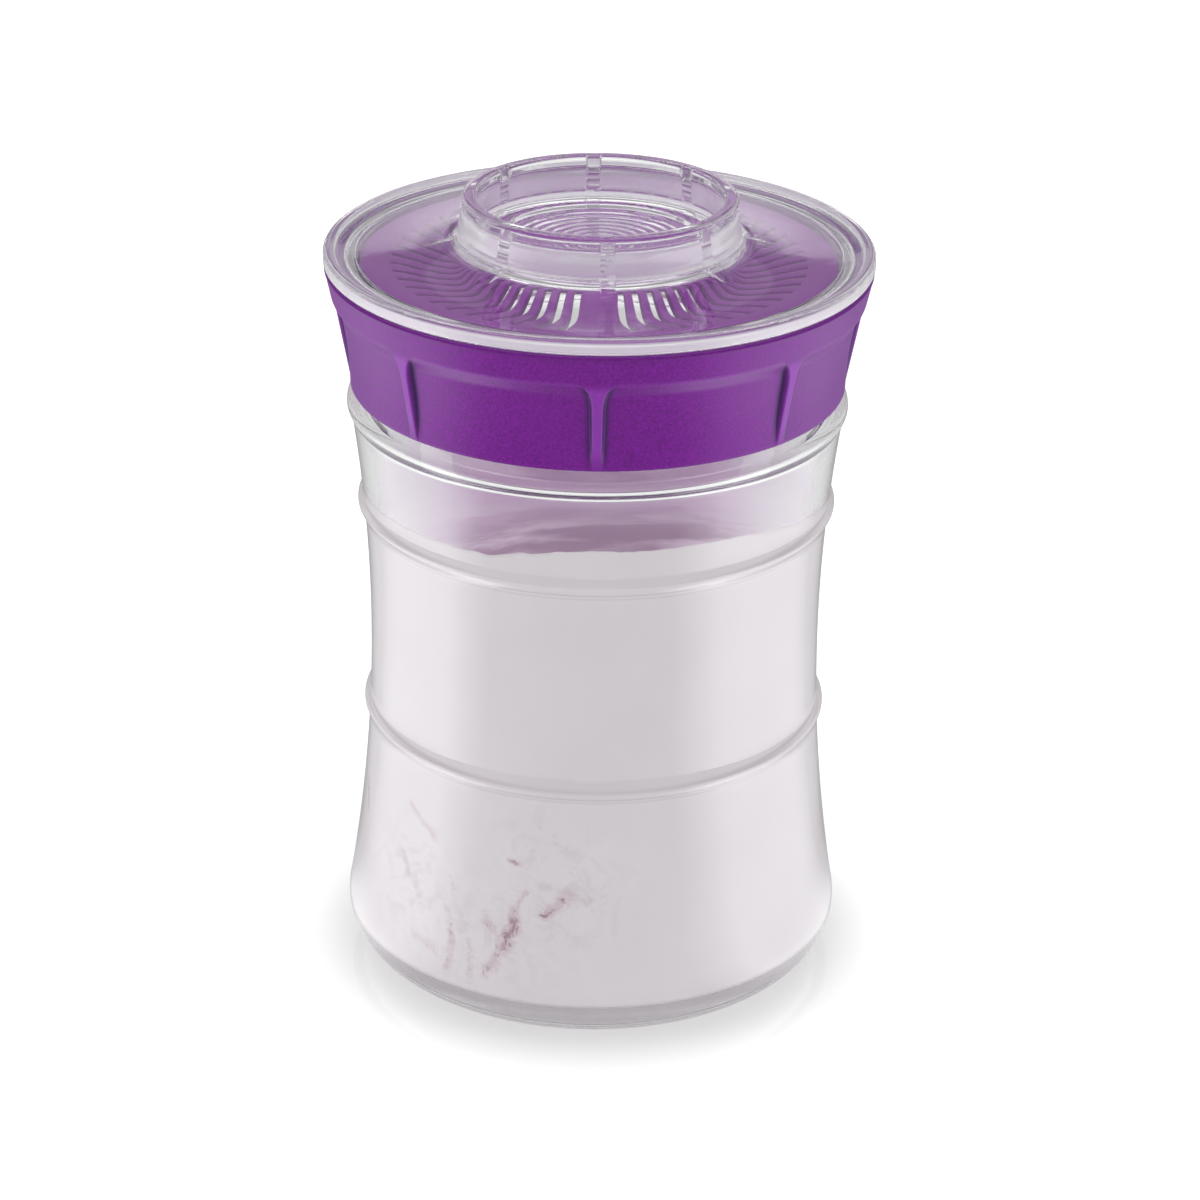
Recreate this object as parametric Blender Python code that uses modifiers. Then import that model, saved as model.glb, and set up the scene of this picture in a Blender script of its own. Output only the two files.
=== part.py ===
"""Kefir fermentation jar: a waisted glass jar full of kefir, a threaded lid ring with a
slotted strainer in it, and a clear cover whose cup is a measure and a finger grip.

Metres, +Z up. The origin is the centre of the jar's foot, on the floor. -Y is the front.
"""

import math

import bmesh
import bpy
from mathutils import Matrix, Vector

MM = 0.001

# Clearances
GAP = 0.3 * MM  # between two pieces that touch on the real object
THREAD_GAP = 0.45 * MM  # from a thread's crest to the wall that it runs along
FLANK_GAP = 0.35 * MM  # between the loaded flanks of two threads
THREAD_SINK = 0.6 * MM  # a thread's root starts this deep in the wall that carries it

# Glass body
WAIST_R = 48.5 * MM
WAIST_Z = 76.35 * MM
LOWER_FLARE_R = 375 * MM  # radius of the curve from the waist down to the heel
UPPER_FLARE_R = 345 * MM  # and from the waist up to the shoulder
HEEL_R = 10.7 * MM
HEEL_TILT = 10  # degrees above level at which the heel's arc meets the body
GLASS_WALL = 3.0 * MM
GLASS_FLOOR = 6.5 * MM
INNER_HEEL_R = 9.0 * MM
FOOT_W = 3.0 * MM  # flat ring that the jar stands on
PUNT_H = 1.6 * MM
PUNT_SLOPE_W = 16.0 * MM  # from the foot ring in to where the punt is level
HOOP_Z = (58.6 * MM, 105.5 * MM)  # the two raised hoops
HOOP_H = 3.0 * MM
HOOP_OUT = 1.2 * MM
HOOP_MARGIN = 0.6 * MM  # from a hoop's edge to the next ring of points on the body
BODY_TOP_Z = 124.6 * MM
BEAD_H = 5.6 * MM  # the rounded shoulder bead under the lid ring
BEAD_OUT = 1.1 * MM
BEAD_RISE = 3.25 * MM  # from the body's top up to the bead's middle
BEAD_ROUND = 2.4 * MM

# Glass neck
NECK_H = 16.5 * MM
NECK_INSET = 4.79 * MM  # from the bead's edge in to the neck
NECK_WALL = 3.4 * MM
NECK_FILLET = 2.0 * MM
NECK_FOOT_RISE = 1.1 * MM  # from the bead's top up to the fillet
NECK_BEND_H = 9.0 * MM  # height in which the inside draws in from the body to the neck
MOUTH_EASE = 1.0 * MM  # rounding of the mouth's two edges

# Kefir
KEFIR_TOP_Z = 113.7 * MM

# Jar thread
JAR_STARTS = 3
JAR_LEAD = 15 * MM
JAR_THREAD_OUT = 1.4 * MM
JAR_THREAD_ROOT_H = 2.2 * MM
JAR_THREAD_CREST_H = 1.0 * MM
JAR_THREAD_SWEEP = math.radians(100)
LID_THREAD_SWEEP = math.radians(80)
JAR_THREAD_DROP = 7.7 * MM  # from the mouth to the low end of a glass thread
LID_THREAD_LAG = math.radians(30)

# Lid gasket, lid ring
GASKET_T = 1.5 * MM
GASKET_W = 5.0 * MM
GASKET_SLACK = 0.5 * MM  # from the lid ring's bore in to the gasket
LID_TO_BEAD = 1.7 * MM
LID_BORE_SLACK = 0.9 * MM  # from the glass thread's crest to the lid ring's bore
LID_EASE = 0.4 * MM  # rounding of the lid ring's two upper edges
LID_FOOT_WALL = 1.75 * MM
SHELF_T = 1.5 * MM
SHELF_OVERHANG = 4.7 * MM  # from the neck's outside in to the shelf's edge
SOCKET_H = 7.55 * MM  # from the shelf up to the lid ring's top
SOCKET_STEP = 3.4 * MM  # the cover's socket is this much wider than the bore below
SOCKET_WALL = 3.4 * MM
BAND_H = 6.25 * MM  # plain band at the top of the lid ring
BAND_TAPER = 1.35 * MM
LEDGE_H = 2.7 * MM  # slope from the band down to the grip panels
LEDGE_IN = 1.3 * MM
PANEL_IN = 0.05 * MM  # from the ribs' crests in to the panels at the lid ring's bottom edge
PANEL_HOLLOW = 0.5 * MM
GRIP_RIBS = 8
RIB_TOP_W = 1.7 * MM
RIB_FOOT_W = 1.3 * MM
RIB_FILLET_W = 2.6 * MM  # a rib's crest spreads this much on each side, up to the band
RIB_FILLET_H = 6.0 * MM  # over this height
RIB_SIDE_W = 0.9 * MM

# Cover thread
COVER_STARTS = 4
COVER_LEAD = 12 * MM
COVER_THREAD_OUT = 0.8 * MM
COVER_THREAD_ROOT_H = 1.05 * MM
COVER_THREAD_CREST_H = 0.6 * MM
COVER_THREAD_SWEEP = math.radians(30)
COVER_THREAD_RISE = 0.6 * MM  # from the skirt's bottom edge to a thread's underside

# Strainer
STRAINER_T = 1.5 * MM
FLANGE_T = 1.2 * MM
STRAINER_WALL = 1.5 * MM
STRAINER_RIM_W = 5.4 * MM
RIM_TO_COVER = 2.0 * MM
TROUGH_DEPTH = 2.7 * MM
TROUGH_IN_R = 30.2 * MM
HUB_R = 23.6 * MM
HUB_TO_COVER = 1.3 * MM
SLOTS_PER_SIDE = 24
SLOT_W = 1.6 * MM
SLOT_SPOKE = math.radians(9.8)  # from the plain front spoke's middle to the first slot
SLOT_END_IN = 1.6 * MM  # from the trough's outer edge in to the slots' ends
SLOT_START_IN = 0.6 * MM  # from the hub's edge in to the slots' inner ends
STRAINER_EASE = 0.5 * MM

# Cover seal, clear cover
SEAL_T = 1.2 * MM
SEAL_SLACK = 0.1 * MM  # the seal lies this much further in than the skirt above it
SKIRT_SLACK = 1.3 * MM  # from the socket's wall in to the skirt
SKIRT_T = 1.6 * MM
SKIRT_TO_STRAINER = 0.6 * MM
COVER_RIM_OUT = 0.2 * MM  # the cover's rim stands this much proud of the lid ring
COVER_RIM_H = 3.4 * MM
COVER_RIM_W = 2.9 * MM
COVER_RIM_SLOPE_W = 0.9 * MM  # the rim's inner side leans over this width
COVER_RIM_ROUND = 1.1 * MM  # rounding of the rim's outer edges
DISH_T = 2.0 * MM
DISH_DROP = 0.85 * MM  # from the rim's top down to the dish beside it
DISH_RISE = 2.8 * MM  # the dish climbs this much from the rim to the cup
SKIRT_FILLET = 0.5 * MM  # where the skirt meets the dish's under side
CUP_R = 28.75 * MM
CUP_H = 10.95 * MM  # above the top of the cover's rim
CUP_WALL = 3.0 * MM
CUP_EASE = 0.4 * MM  # rounding of the cup's small edges
CUP_LIP_EASE = 0.6 * MM
CUP_FILLET = 1.8 * MM  # where the cup's wall meets its floor
CUP_FOOT_OUT = 1.9 * MM
CUP_FOOT_RISE = 0.5 * MM  # from the dish up to the cup's foot
CUP_FLARE_H = 1.2 * MM  # the cup's wall flares into its foot over this height
CUP_TAPER = 1.1 * MM
CUP_PANEL_IN = 0.75 * MM
CUP_PANEL_H = 1.9 * MM
CUP_LIP_H = 1.1 * MM
CUP_FLOOR_DROP = 0.7 * MM  # from the dish's highest circle down to the cup's floor
CUP_FLOOR_T = 1.9 * MM
CUP_FLOOR_R = 21.0 * MM
CUP_FLOOR_STEP = 0.3 * MM
CUP_UNDER_IN = 1.5 * MM  # from the cup's inside in to the edge of its flat under side
CUP_FINS = 8
FIN_W = 3.0 * MM
FIN_OUT = 2.0 * MM  # how far a fin's foot reaches past the cup's foot
FIN_SINK = 0.5 * MM  # a fin starts this deep in the cup's wall
FIN_PROUD = 0.05 * MM  # and stands this much proud of it at the top
FIN_TOE_H = 0.25 * MM
COVER_TURN = math.radians(3.2)

# Smoothness
GLASS_SEGMENTS = 48
LID_COLUMNS = 10  # around one grip rib
COVER_SEGMENTS = 48
RING_SEGMENTS = 40


# Heights and radii that follow from the sizes above
BEAD_TOP_Z = BODY_TOP_Z + BEAD_H
MOUTH_Z = BEAD_TOP_Z + NECK_H


def body_radius(z):
    """The glass body's plain outer radius at height z."""
    flare = LOWER_FLARE_R if z < WAIST_Z else UPPER_FLARE_R
    return WAIST_R + flare - math.sqrt(flare**2 - (z - WAIST_Z) ** 2)


HEEL_TOP_Z = HEEL_R * (1 + math.sin(math.radians(HEEL_TILT)))
HEEL_CENTRE_R = body_radius(HEEL_TOP_Z) - HEEL_R * math.cos(math.radians(HEEL_TILT))
INNER_HEEL_TOP_Z = GLASS_FLOOR + INNER_HEEL_R
BEAD_R = body_radius(BODY_TOP_Z) + BEAD_OUT
NECK_R = BEAD_R - NECK_INSET
NECK_IN_R = NECK_R - NECK_WALL
JAR_CREST_R = NECK_R + JAR_THREAD_OUT

LID_BOTTOM_Z = BEAD_TOP_Z + LID_TO_BEAD
LID_BORE_R = JAR_CREST_R + LID_BORE_SLACK
GASKET_Z = MOUTH_Z + GAP
SHELF_Z = GASKET_Z + GASKET_T + GAP
SHELF_TOP_Z = SHELF_Z + SHELF_T
SOCKET_R = LID_BORE_R + SOCKET_STEP
LID_TOP_Z = SHELF_TOP_Z + SOCKET_H
LID_TOP_R = SOCKET_R + SOCKET_WALL
LID_FOOT_R = LID_BORE_R + LID_FOOT_WALL
LEDGE_TOP_Z = LID_TOP_Z - BAND_H
LEDGE_FOOT_Z = LEDGE_TOP_Z - LEDGE_H

FLANGE_Z = SHELF_TOP_Z + GAP
SEAL_Z = FLANGE_Z + FLANGE_T + GAP
SKIRT_Z = SEAL_Z + SEAL_T + GAP
SKIRT_R = SOCKET_R - SKIRT_SLACK
SKIRT_IN_R = SKIRT_R - SKIRT_T
COVER_CREST_R = SKIRT_R + COVER_THREAD_OUT

COVER_RIM_R = LID_TOP_R + COVER_RIM_OUT
COVER_RIM_Z = LID_TOP_Z + GAP
COVER_RIM_TOP_Z = COVER_RIM_Z + COVER_RIM_H
DISH_R = COVER_RIM_R - COVER_RIM_W
DISH_Z = COVER_RIM_TOP_Z - DISH_DROP
CUP_TOP_Z = COVER_RIM_TOP_Z + CUP_H
CUP_IN_R = CUP_R - CUP_WALL
CUP_FOOT_R = CUP_R + CUP_FOOT_OUT
CUP_FOOT_Z = DISH_Z + DISH_RISE + CUP_FOOT_RISE
CUP_FLOOR_Z = DISH_Z + DISH_RISE - CUP_FLOOR_DROP

STRAINER_R = SKIRT_IN_R - SKIRT_TO_STRAINER
STRAINER_RIM_Z = DISH_Z - DISH_T - RIM_TO_COVER
TROUGH_Z = STRAINER_RIM_Z - TROUGH_DEPTH
TROUGH_OUT_R = STRAINER_R - STRAINER_RIM_W
HUB_Z = CUP_FLOOR_Z - CUP_FLOOR_T - HUB_TO_COVER


def clear_scene():
    """Removes what the scene holds at the start."""
    for obj in list(bpy.data.objects):
        bpy.data.objects.remove(obj)


def collection(name):
    """Makes a collection and links it to the scene."""
    made = bpy.data.collections.new(name)
    bpy.context.scene.collection.children.link(made)
    return made


def material(name, colour, roughness, alpha=1.0, transmission=0.0):
    """Makes a Principled material."""
    made = bpy.data.materials.new(name)
    made.use_nodes = True
    shader = made.node_tree.nodes["Principled BSDF"]
    shader.inputs["Base Color"].default_value = (*colour, 1)
    shader.inputs["Roughness"].default_value = roughness
    shader.inputs["Metallic"].default_value = 0
    shader.inputs["Alpha"].default_value = alpha
    shader.inputs["Transmission Weight"].default_value = transmission
    made.diffuse_color = (*colour, alpha)
    return made


def arc(centre_r, centre_z, radius, start, end, steps):
    """Points along an arc of a turned profile, angles in degrees from +X."""
    points = []
    for step in range(steps + 1):
        angle = math.radians(start + (end - start) * step / steps)
        points.append((centre_r + radius * math.cos(angle), centre_z + radius * math.sin(angle)))
    return points


def add_object(name, mesh, group, seat_z, coat=None):
    """Links an object whose mesh is given in world places, with its origin at seat_z on the axis."""
    mesh.transform(Matrix.Translation((0, 0, -seat_z)))
    obj = bpy.data.objects.new(name, mesh)
    obj.location = (0, 0, seat_z)
    group.objects.link(obj)
    if coat:
        mesh.materials.append(coat)
    return obj


def turned(name, profile, segments, group, seat_z, coat, closed=True):
    """A turned piece: the profile is wound top to bottom on its outer side."""
    count = len(profile)
    edges = [(i, i + 1) for i in range(count - 1)]
    if closed:
        edges.append((count - 1, 0))
    mesh = bpy.data.meshes.new(name)
    mesh.from_pydata([(r, 0, z) for r, z in profile], edges, [])
    obj = add_object(name, mesh, group, seat_z, coat)
    screw = obj.modifiers.new("turn", "SCREW")
    screw.steps = segments
    screw.render_steps = segments
    screw.use_merge_vertices = True
    screw.merge_threshold = 0.001 * MM
    screw.use_smooth_shade = True
    return obj


def hidden(name, bm, group):
    """A cutter or a boss: an object that only a Boolean modifier reads."""
    bmesh.ops.recalc_face_normals(bm, faces=bm.faces)
    mesh = bpy.data.meshes.new(name)
    bm.to_mesh(mesh)
    bm.free()
    obj = bpy.data.objects.new(name, mesh)
    obj.hide_render = True
    obj.display_type = "WIRE"
    group.objects.link(obj)
    return obj


def combine(obj, other, operation):
    """Cuts the other object from obj, or joins it on."""
    boolean = obj.modifiers.new(other.name, "BOOLEAN")
    boolean.operation = operation
    boolean.object = other


def eased(share):
    """A share from 0 to 1 that starts and ends level."""
    return share * share * (3 - 2 * share)


def add_thread(bm, root_r, crest_r, root_h, crest_h, z, start, sweep, lead):
    """Adds one helical ridge from root_r to crest_r, whose ends fade into the wall."""
    steps = 14
    fade_steps = 2
    end_share = 0.125
    loops = []
    for step in range(steps + 1):
        share = step / steps
        angle = start + sweep * share
        middle = z + lead * sweep * share / math.tau
        height = min(1, min(step, steps - step) / fade_steps + end_share)
        tip_r = root_r + (crest_r - root_r) * height
        corners = [
            (root_r, middle - root_h / 2),
            (tip_r, middle - crest_h / 2),
            (tip_r, middle + crest_h / 2),
            (root_r, middle + root_h / 2),
        ]
        turn = Matrix.Rotation(angle, 4, "Z")
        loops.append([bm.verts.new(turn @ Vector((r, 0, height_z))) for r, height_z in corners])
    for low, high in zip(loops, loops[1:]):
        for side in range(4):
            after = (side + 1) % 4
            bm.faces.new((low[side], low[after], high[after], high[side]))
    bm.faces.new(loops[0])
    bm.faces.new(loops[-1])


def threads(name, group, starts, first, **shape):
    """All starts of one thread, evenly spaced round the axis from the angle of the first."""
    bm = bmesh.new()
    for index in range(starts):
        add_thread(bm, start=first + math.tau * index / starts, **shape)
    return hidden(name, bm, group)


def body_profile(top_z, bottom_z, steps):
    """Points down the plain glass body between two heights."""
    points = []
    for step in range(steps + 1):
        z = top_z + (bottom_z - top_z) * step / steps
        points.append((body_radius(z), z))
    return points


def hoop_profile(z):
    """Points down one raised hoop."""
    points = []
    steps = 4
    for step in range(steps + 1):
        angle = math.pi * step / steps
        height = z + HOOP_H / 2 * math.cos(angle)
        points.append((body_radius(height) + HOOP_OUT * math.sin(angle), height))
    return points


def inner_radius(z):
    """The glass body's inside radius at height z."""
    return body_radius(z) - GLASS_WALL


def inner_profile(top_z, clearance):
    """Points down the jar's inside, from top_z to the floor's edge."""
    points = []
    steps = 6
    for step in range(steps + 1):
        z = top_z + (INNER_HEEL_TOP_Z - top_z) * step / steps
        points.append((inner_radius(z) - clearance, z))
    centre_r = inner_radius(INNER_HEEL_TOP_Z) - INNER_HEEL_R
    curve = arc(centre_r, INNER_HEEL_TOP_Z, INNER_HEEL_R - clearance, 0, -90, 4)
    return points + curve[1:]


def make_glass(group, bosses, coat):
    """The jar: foot, body with two hoops, shoulder bead, threaded neck."""
    outer = arc(NECK_R - MOUTH_EASE, MOUTH_Z - MOUTH_EASE, MOUTH_EASE, 90, 0, 2)
    outer += arc(NECK_R + NECK_FILLET, BEAD_TOP_Z + NECK_FOOT_RISE + NECK_FILLET, NECK_FILLET, 180, 270, 3)
    outer += arc(BEAD_R - BEAD_ROUND, BODY_TOP_Z + BEAD_RISE, BEAD_ROUND, 62, -52, 4)
    margin = HOOP_H / 2 + HOOP_MARGIN
    outer += body_profile(BODY_TOP_Z, HOOP_Z[1] + margin, 2)
    outer += hoop_profile(HOOP_Z[1])
    outer += body_profile(HOOP_Z[1] - margin, HOOP_Z[0] + margin, 4)
    outer += hoop_profile(HOOP_Z[0])
    outer += body_profile(HOOP_Z[0] - margin, HEEL_TOP_Z, 4)[:-1]
    outer += arc(HEEL_CENTRE_R, HEEL_R, HEEL_R, HEEL_TILT, -90, 5)
    punt_steps = 2
    foot_in_r = HEEL_CENTRE_R - FOOT_W
    for step in range(punt_steps + 1):
        share = step / punt_steps
        outer.append((foot_in_r - PUNT_SLOPE_W * share**2, PUNT_H * share))
    outer.append((0, PUNT_H))

    inner = inner_profile(BODY_TOP_Z, 0)
    inner.reverse()
    shoulder_r = inner_radius(BODY_TOP_Z)
    bend_steps = 3
    for step in range(1, bend_steps + 1):
        share = step / bend_steps
        inner.append((shoulder_r - (shoulder_r - NECK_IN_R) * eased(share), BODY_TOP_Z + NECK_BEND_H * share))
    inner += arc(NECK_IN_R + MOUTH_EASE, MOUTH_Z - MOUTH_EASE, MOUTH_EASE, 180, 90, 2)
    profile = outer + [(0, GLASS_FLOOR)] + inner
    jar = turned("glass_jar", profile, GLASS_SEGMENTS, group, 0, coat)
    ridge = threads(
        "jar_thread_boss",
        bosses,
        JAR_STARTS,
        0,
        root_r=NECK_R - THREAD_SINK,
        crest_r=JAR_CREST_R,
        root_h=JAR_THREAD_ROOT_H,
        crest_h=JAR_THREAD_CREST_H,
        z=MOUTH_Z - JAR_THREAD_DROP,
        sweep=JAR_THREAD_SWEEP,
        lead=JAR_LEAD,
    )
    combine(jar, ridge, "UNION")
    return jar


def make_kefir(group, coat):
    """The kefir, a little clear of the glass."""
    profile = [(0, KEFIR_TOP_Z)] + inner_profile(KEFIR_TOP_Z, GAP) + [(0, GLASS_FLOOR + GAP)]
    return turned("kefir_fill", profile, GLASS_SEGMENTS, group, GLASS_FLOOR, coat, closed=False)


def make_washer(name, in_r, out_r, z, thickness, group, coat):
    """A soft flat ring with eased edges."""
    ease = thickness * 0.25
    profile = [
        (out_r - ease, z + thickness),
        (out_r, z + thickness - ease),
        (out_r, z + ease),
        (out_r - ease, z),
        (in_r + ease, z),
        (in_r, z + ease),
        (in_r, z + thickness - ease),
        (in_r + ease, z + thickness),
    ]
    return turned(name, profile, RING_SEGMENTS, group, z, coat)


def rib_line(z):
    """Radius of the lid ring's plain outside and of its grip ribs' crests at height z."""
    band_foot_r = LID_TOP_R - BAND_TAPER
    if z >= LEDGE_TOP_Z:
        share = (LID_TOP_Z - z) / BAND_H
        return LID_TOP_R - BAND_TAPER * share
    share = (LEDGE_TOP_Z - z) / (LEDGE_TOP_Z - LID_BOTTOM_Z)
    return band_foot_r + (LID_FOOT_R - band_foot_r) * share


def panel_line(z):
    """Radius of the grip panels between the ribs at height z."""
    if z >= LEDGE_TOP_Z:
        return rib_line(z)
    foot_r = rib_line(LEDGE_FOOT_Z) - LEDGE_IN
    if z >= LEDGE_FOOT_Z:
        share = (LEDGE_TOP_Z - z) / LEDGE_H
        return rib_line(LEDGE_TOP_Z) + (foot_r - rib_line(LEDGE_TOP_Z)) * share
    share = (LEDGE_FOOT_Z - z) / (LEDGE_FOOT_Z - LID_BOTTOM_Z)
    hollow = PANEL_HOLLOW * math.sin(math.pi * share)
    return foot_r + (LID_FOOT_R - PANEL_IN - foot_r) * share - hollow


def rib_half_width(z):
    """Half the width of a grip rib's crest at height z, with the fillets at its top."""
    share = max(0, min(1, (z - LID_BOTTOM_Z) / (LEDGE_FOOT_Z - LID_BOTTOM_Z)))
    plain = (RIB_FOOT_W + (RIB_TOP_W - RIB_FOOT_W) * share) / 2
    into = max(0, min(1, (z - LEDGE_TOP_Z) / RIB_FILLET_H + 1))
    return plain + RIB_FILLET_W * (1 - math.sqrt(1 - into**2))


def grip_place(angle, z):
    """Moves one column of the lid ring to a grip rib's edge or foot, and says if it is on the crest."""
    sector = math.tau / GRIP_RIBS
    column = sector / LID_COLUMNS
    middle = round(angle / sector) * sector
    offset = angle - middle
    steps = abs(offset) / column
    edge = rib_half_width(z) / rib_line(z)
    foot = edge + RIB_SIDE_W / rib_line(z)
    last = LID_COLUMNS / 2
    if steps <= 1:
        moved = edge * steps
    elif steps <= 2:
        moved = edge + (foot - edge) * (steps - 1)
    else:
        moved = foot + (sector / 2 - foot) * (steps - 2) / (last - 2)
    return middle + math.copysign(moved, offset), steps < 1.5


def make_lid_ring(group, bosses, coat):
    """The lid ring: bore with a thread, shelf for the strainer, socket for the cover, eight grip ribs."""
    rows = [LID_TOP_Z, LID_TOP_Z - LID_EASE, (LID_TOP_Z + LEDGE_TOP_Z) / 2, LEDGE_TOP_Z]
    fillet_z = LEDGE_TOP_Z - RIB_FILLET_H
    rows += [LEDGE_FOOT_Z, (LEDGE_FOOT_Z + fillet_z) / 2, fillet_z]
    low_rows = 4
    below = rows[-1]
    rows += [below + (LID_BOTTOM_Z - below) * step / low_rows for step in range(1, low_rows + 1)]
    profile = [(rib_line(z), z) for z in rows]
    profile[0] = (LID_TOP_R - LID_EASE, LID_TOP_Z)
    shelf_r = NECK_R - SHELF_OVERHANG
    inside = [
        (LID_BORE_R, LID_BOTTOM_Z),
        (LID_BORE_R, SHELF_Z),
        (shelf_r, SHELF_Z),
        (shelf_r, SHELF_TOP_Z),
        (SOCKET_R, SHELF_TOP_Z),
        (SOCKET_R, LID_TOP_Z - LID_EASE),
        (SOCKET_R + LID_EASE, LID_TOP_Z),
    ]
    profile += inside
    bm = bmesh.new()
    verts = [bm.verts.new((0, -r, z)) for r, z in profile]
    edges = [bm.edges.new((verts[i - 1], verts[i])) for i in range(len(verts))]
    bmesh.ops.spin(
        bm,
        geom=verts + edges,
        axis=(0, 0, 1),
        cent=(0, 0, 0),
        dvec=(0, 0, 0),
        angle=math.tau,
        steps=GRIP_RIBS * LID_COLUMNS,
        use_merge=True,
    )
    rounding = 0.01 * MM
    for vert in bm.verts:
        radius = math.hypot(vert.co.x, vert.co.y)
        angle = math.atan2(vert.co.x, -vert.co.y)
        z = vert.co.z
        angle, on_rib = grip_place(angle, z)
        outside = radius > rib_line(z) - rounding
        if outside and not on_rib:
            radius = panel_line(z)
        vert.co = (radius * math.sin(angle), -radius * math.cos(angle), z)
    bmesh.ops.recalc_face_normals(bm, faces=bm.faces)
    mesh = bpy.data.meshes.new("lid_ring")
    bm.to_mesh(mesh)
    bm.free()
    ring = add_object("lid_ring", mesh, group, LID_BOTTOM_Z, coat)

    crest_r = NECK_R + THREAD_GAP
    lag_z = JAR_LEAD * LID_THREAD_LAG / math.tau
    lower = threads(
        "lid_thread_boss",
        bosses,
        JAR_STARTS,
        -LID_THREAD_LAG,
        root_r=LID_BORE_R + THREAD_SINK,
        crest_r=crest_r,
        root_h=JAR_THREAD_ROOT_H,
        crest_h=JAR_THREAD_CREST_H,
        z=MOUTH_Z - JAR_THREAD_DROP - thread_drop(crest_r) - lag_z,
        sweep=LID_THREAD_SWEEP,
        lead=JAR_LEAD,
    )
    combine(ring, lower, "UNION")
    upper = threads(
        "socket_thread_boss",
        bosses,
        COVER_STARTS,
        0,
        root_r=SOCKET_R + THREAD_SINK,
        crest_r=SKIRT_R + FLANK_GAP,
        root_h=COVER_THREAD_ROOT_H,
        crest_h=COVER_THREAD_CREST_H,
        z=SKIRT_Z + COVER_THREAD_RISE + COVER_THREAD_ROOT_H * 1.5 + FLANK_GAP,
        sweep=COVER_THREAD_SWEEP,
        lead=COVER_LEAD,
    )
    combine(ring, upper, "UNION")
    return ring


def thread_drop(lid_crest_r):
    """How far the lid's thread lies under the glass one, middle to middle, with FLANK_GAP between flanks."""
    root_r = NECK_R - THREAD_SINK
    reach = (lid_crest_r - root_r) / (JAR_CREST_R - root_r)
    glass_h = JAR_THREAD_ROOT_H + (JAR_THREAD_CREST_H - JAR_THREAD_ROOT_H) * reach
    return (glass_h + JAR_THREAD_CREST_H) / 2 + FLANK_GAP


def strainer_line(r, drop):
    """Height of the strainer's upper face at radius r, or of its under face with drop."""
    top = HUB_Z - drop
    floor = TROUGH_Z - drop
    rim = STRAINER_RIM_Z - drop
    if r <= HUB_R:
        return top
    if r <= TROUGH_IN_R:
        return top + (floor - top) * eased((r - HUB_R) / (TROUGH_IN_R - HUB_R))
    share = min(1, (r - TROUGH_IN_R) / (TROUGH_OUT_R - TROUGH_IN_R))
    return floor + (rim - floor) * eased(share)


def make_strainer(group, bosses, coat):
    """The strainer: flange, standing wall, slotted trough and a plain raised hub."""
    inside_r = STRAINER_R - STRAINER_WALL
    cone_steps = 3
    trough_steps = 4
    radii = [HUB_R + (TROUGH_IN_R - HUB_R) * step / cone_steps for step in range(cone_steps)]
    trough_w = TROUGH_OUT_R - TROUGH_IN_R
    radii += [TROUGH_IN_R + trough_w * step / trough_steps for step in range(trough_steps + 1)]
    upper = [(r, strainer_line(r, 0)) for r in radii]
    under = [(r, strainer_line(r, STRAINER_T)) for r in reversed(radii)]
    profile = [(0, HUB_Z)] + upper
    profile += [
        (STRAINER_R - STRAINER_EASE, STRAINER_RIM_Z),
        (STRAINER_R, STRAINER_RIM_Z - STRAINER_EASE),
        (STRAINER_R, FLANGE_Z + FLANGE_T),
        (SKIRT_R, FLANGE_Z + FLANGE_T),
        (SKIRT_R, FLANGE_Z),
        (inside_r, FLANGE_Z),
        (inside_r, STRAINER_RIM_Z - STRAINER_T),
    ]
    profile += under + [(0, HUB_Z - STRAINER_T)]
    strainer = turned("strainer", profile, COVER_SEGMENTS, group, FLANGE_Z, coat, closed=False)

    bm = bmesh.new()
    slot_in_r = HUB_R - SLOT_START_IN
    slot_out_r = TROUGH_OUT_R - SLOT_END_IN
    length = slot_out_r - slot_in_r
    height = (HUB_Z - TROUGH_Z + 4 * STRAINER_T) * 2
    pitch = (math.pi - 2 * SLOT_SPOKE) / (SLOTS_PER_SIDE - 1)
    for side in (-1, 1):
        for index in range(SLOTS_PER_SIDE):
            angle = side * (SLOT_SPOKE + pitch * index)
            place = (
                Matrix.Rotation(angle, 4, "Z")
                @ Matrix.Translation((0, -(slot_in_r + slot_out_r) / 2, (HUB_Z + TROUGH_Z) / 2))
                @ Matrix.Diagonal((SLOT_W, length, height, 1))
            )
            bmesh.ops.create_cube(bm, size=1, matrix=place)
    combine(strainer, hidden("slot_cutter", bm, bosses), "DIFFERENCE")
    return strainer


def dish_line(r):
    """Height of the cover's upper face between its rim and its cup."""
    share = (DISH_R - r) / (DISH_R - CUP_FOOT_R)
    return DISH_Z + DISH_RISE * share**3


def cup_wall_radius(z):
    """The cup's plain outer radius at height z, without its recessed panels."""
    share = (CUP_TOP_Z - z) / (CUP_TOP_Z - CUP_FOOT_Z)
    return CUP_R + CUP_TAPER * share**2


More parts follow.
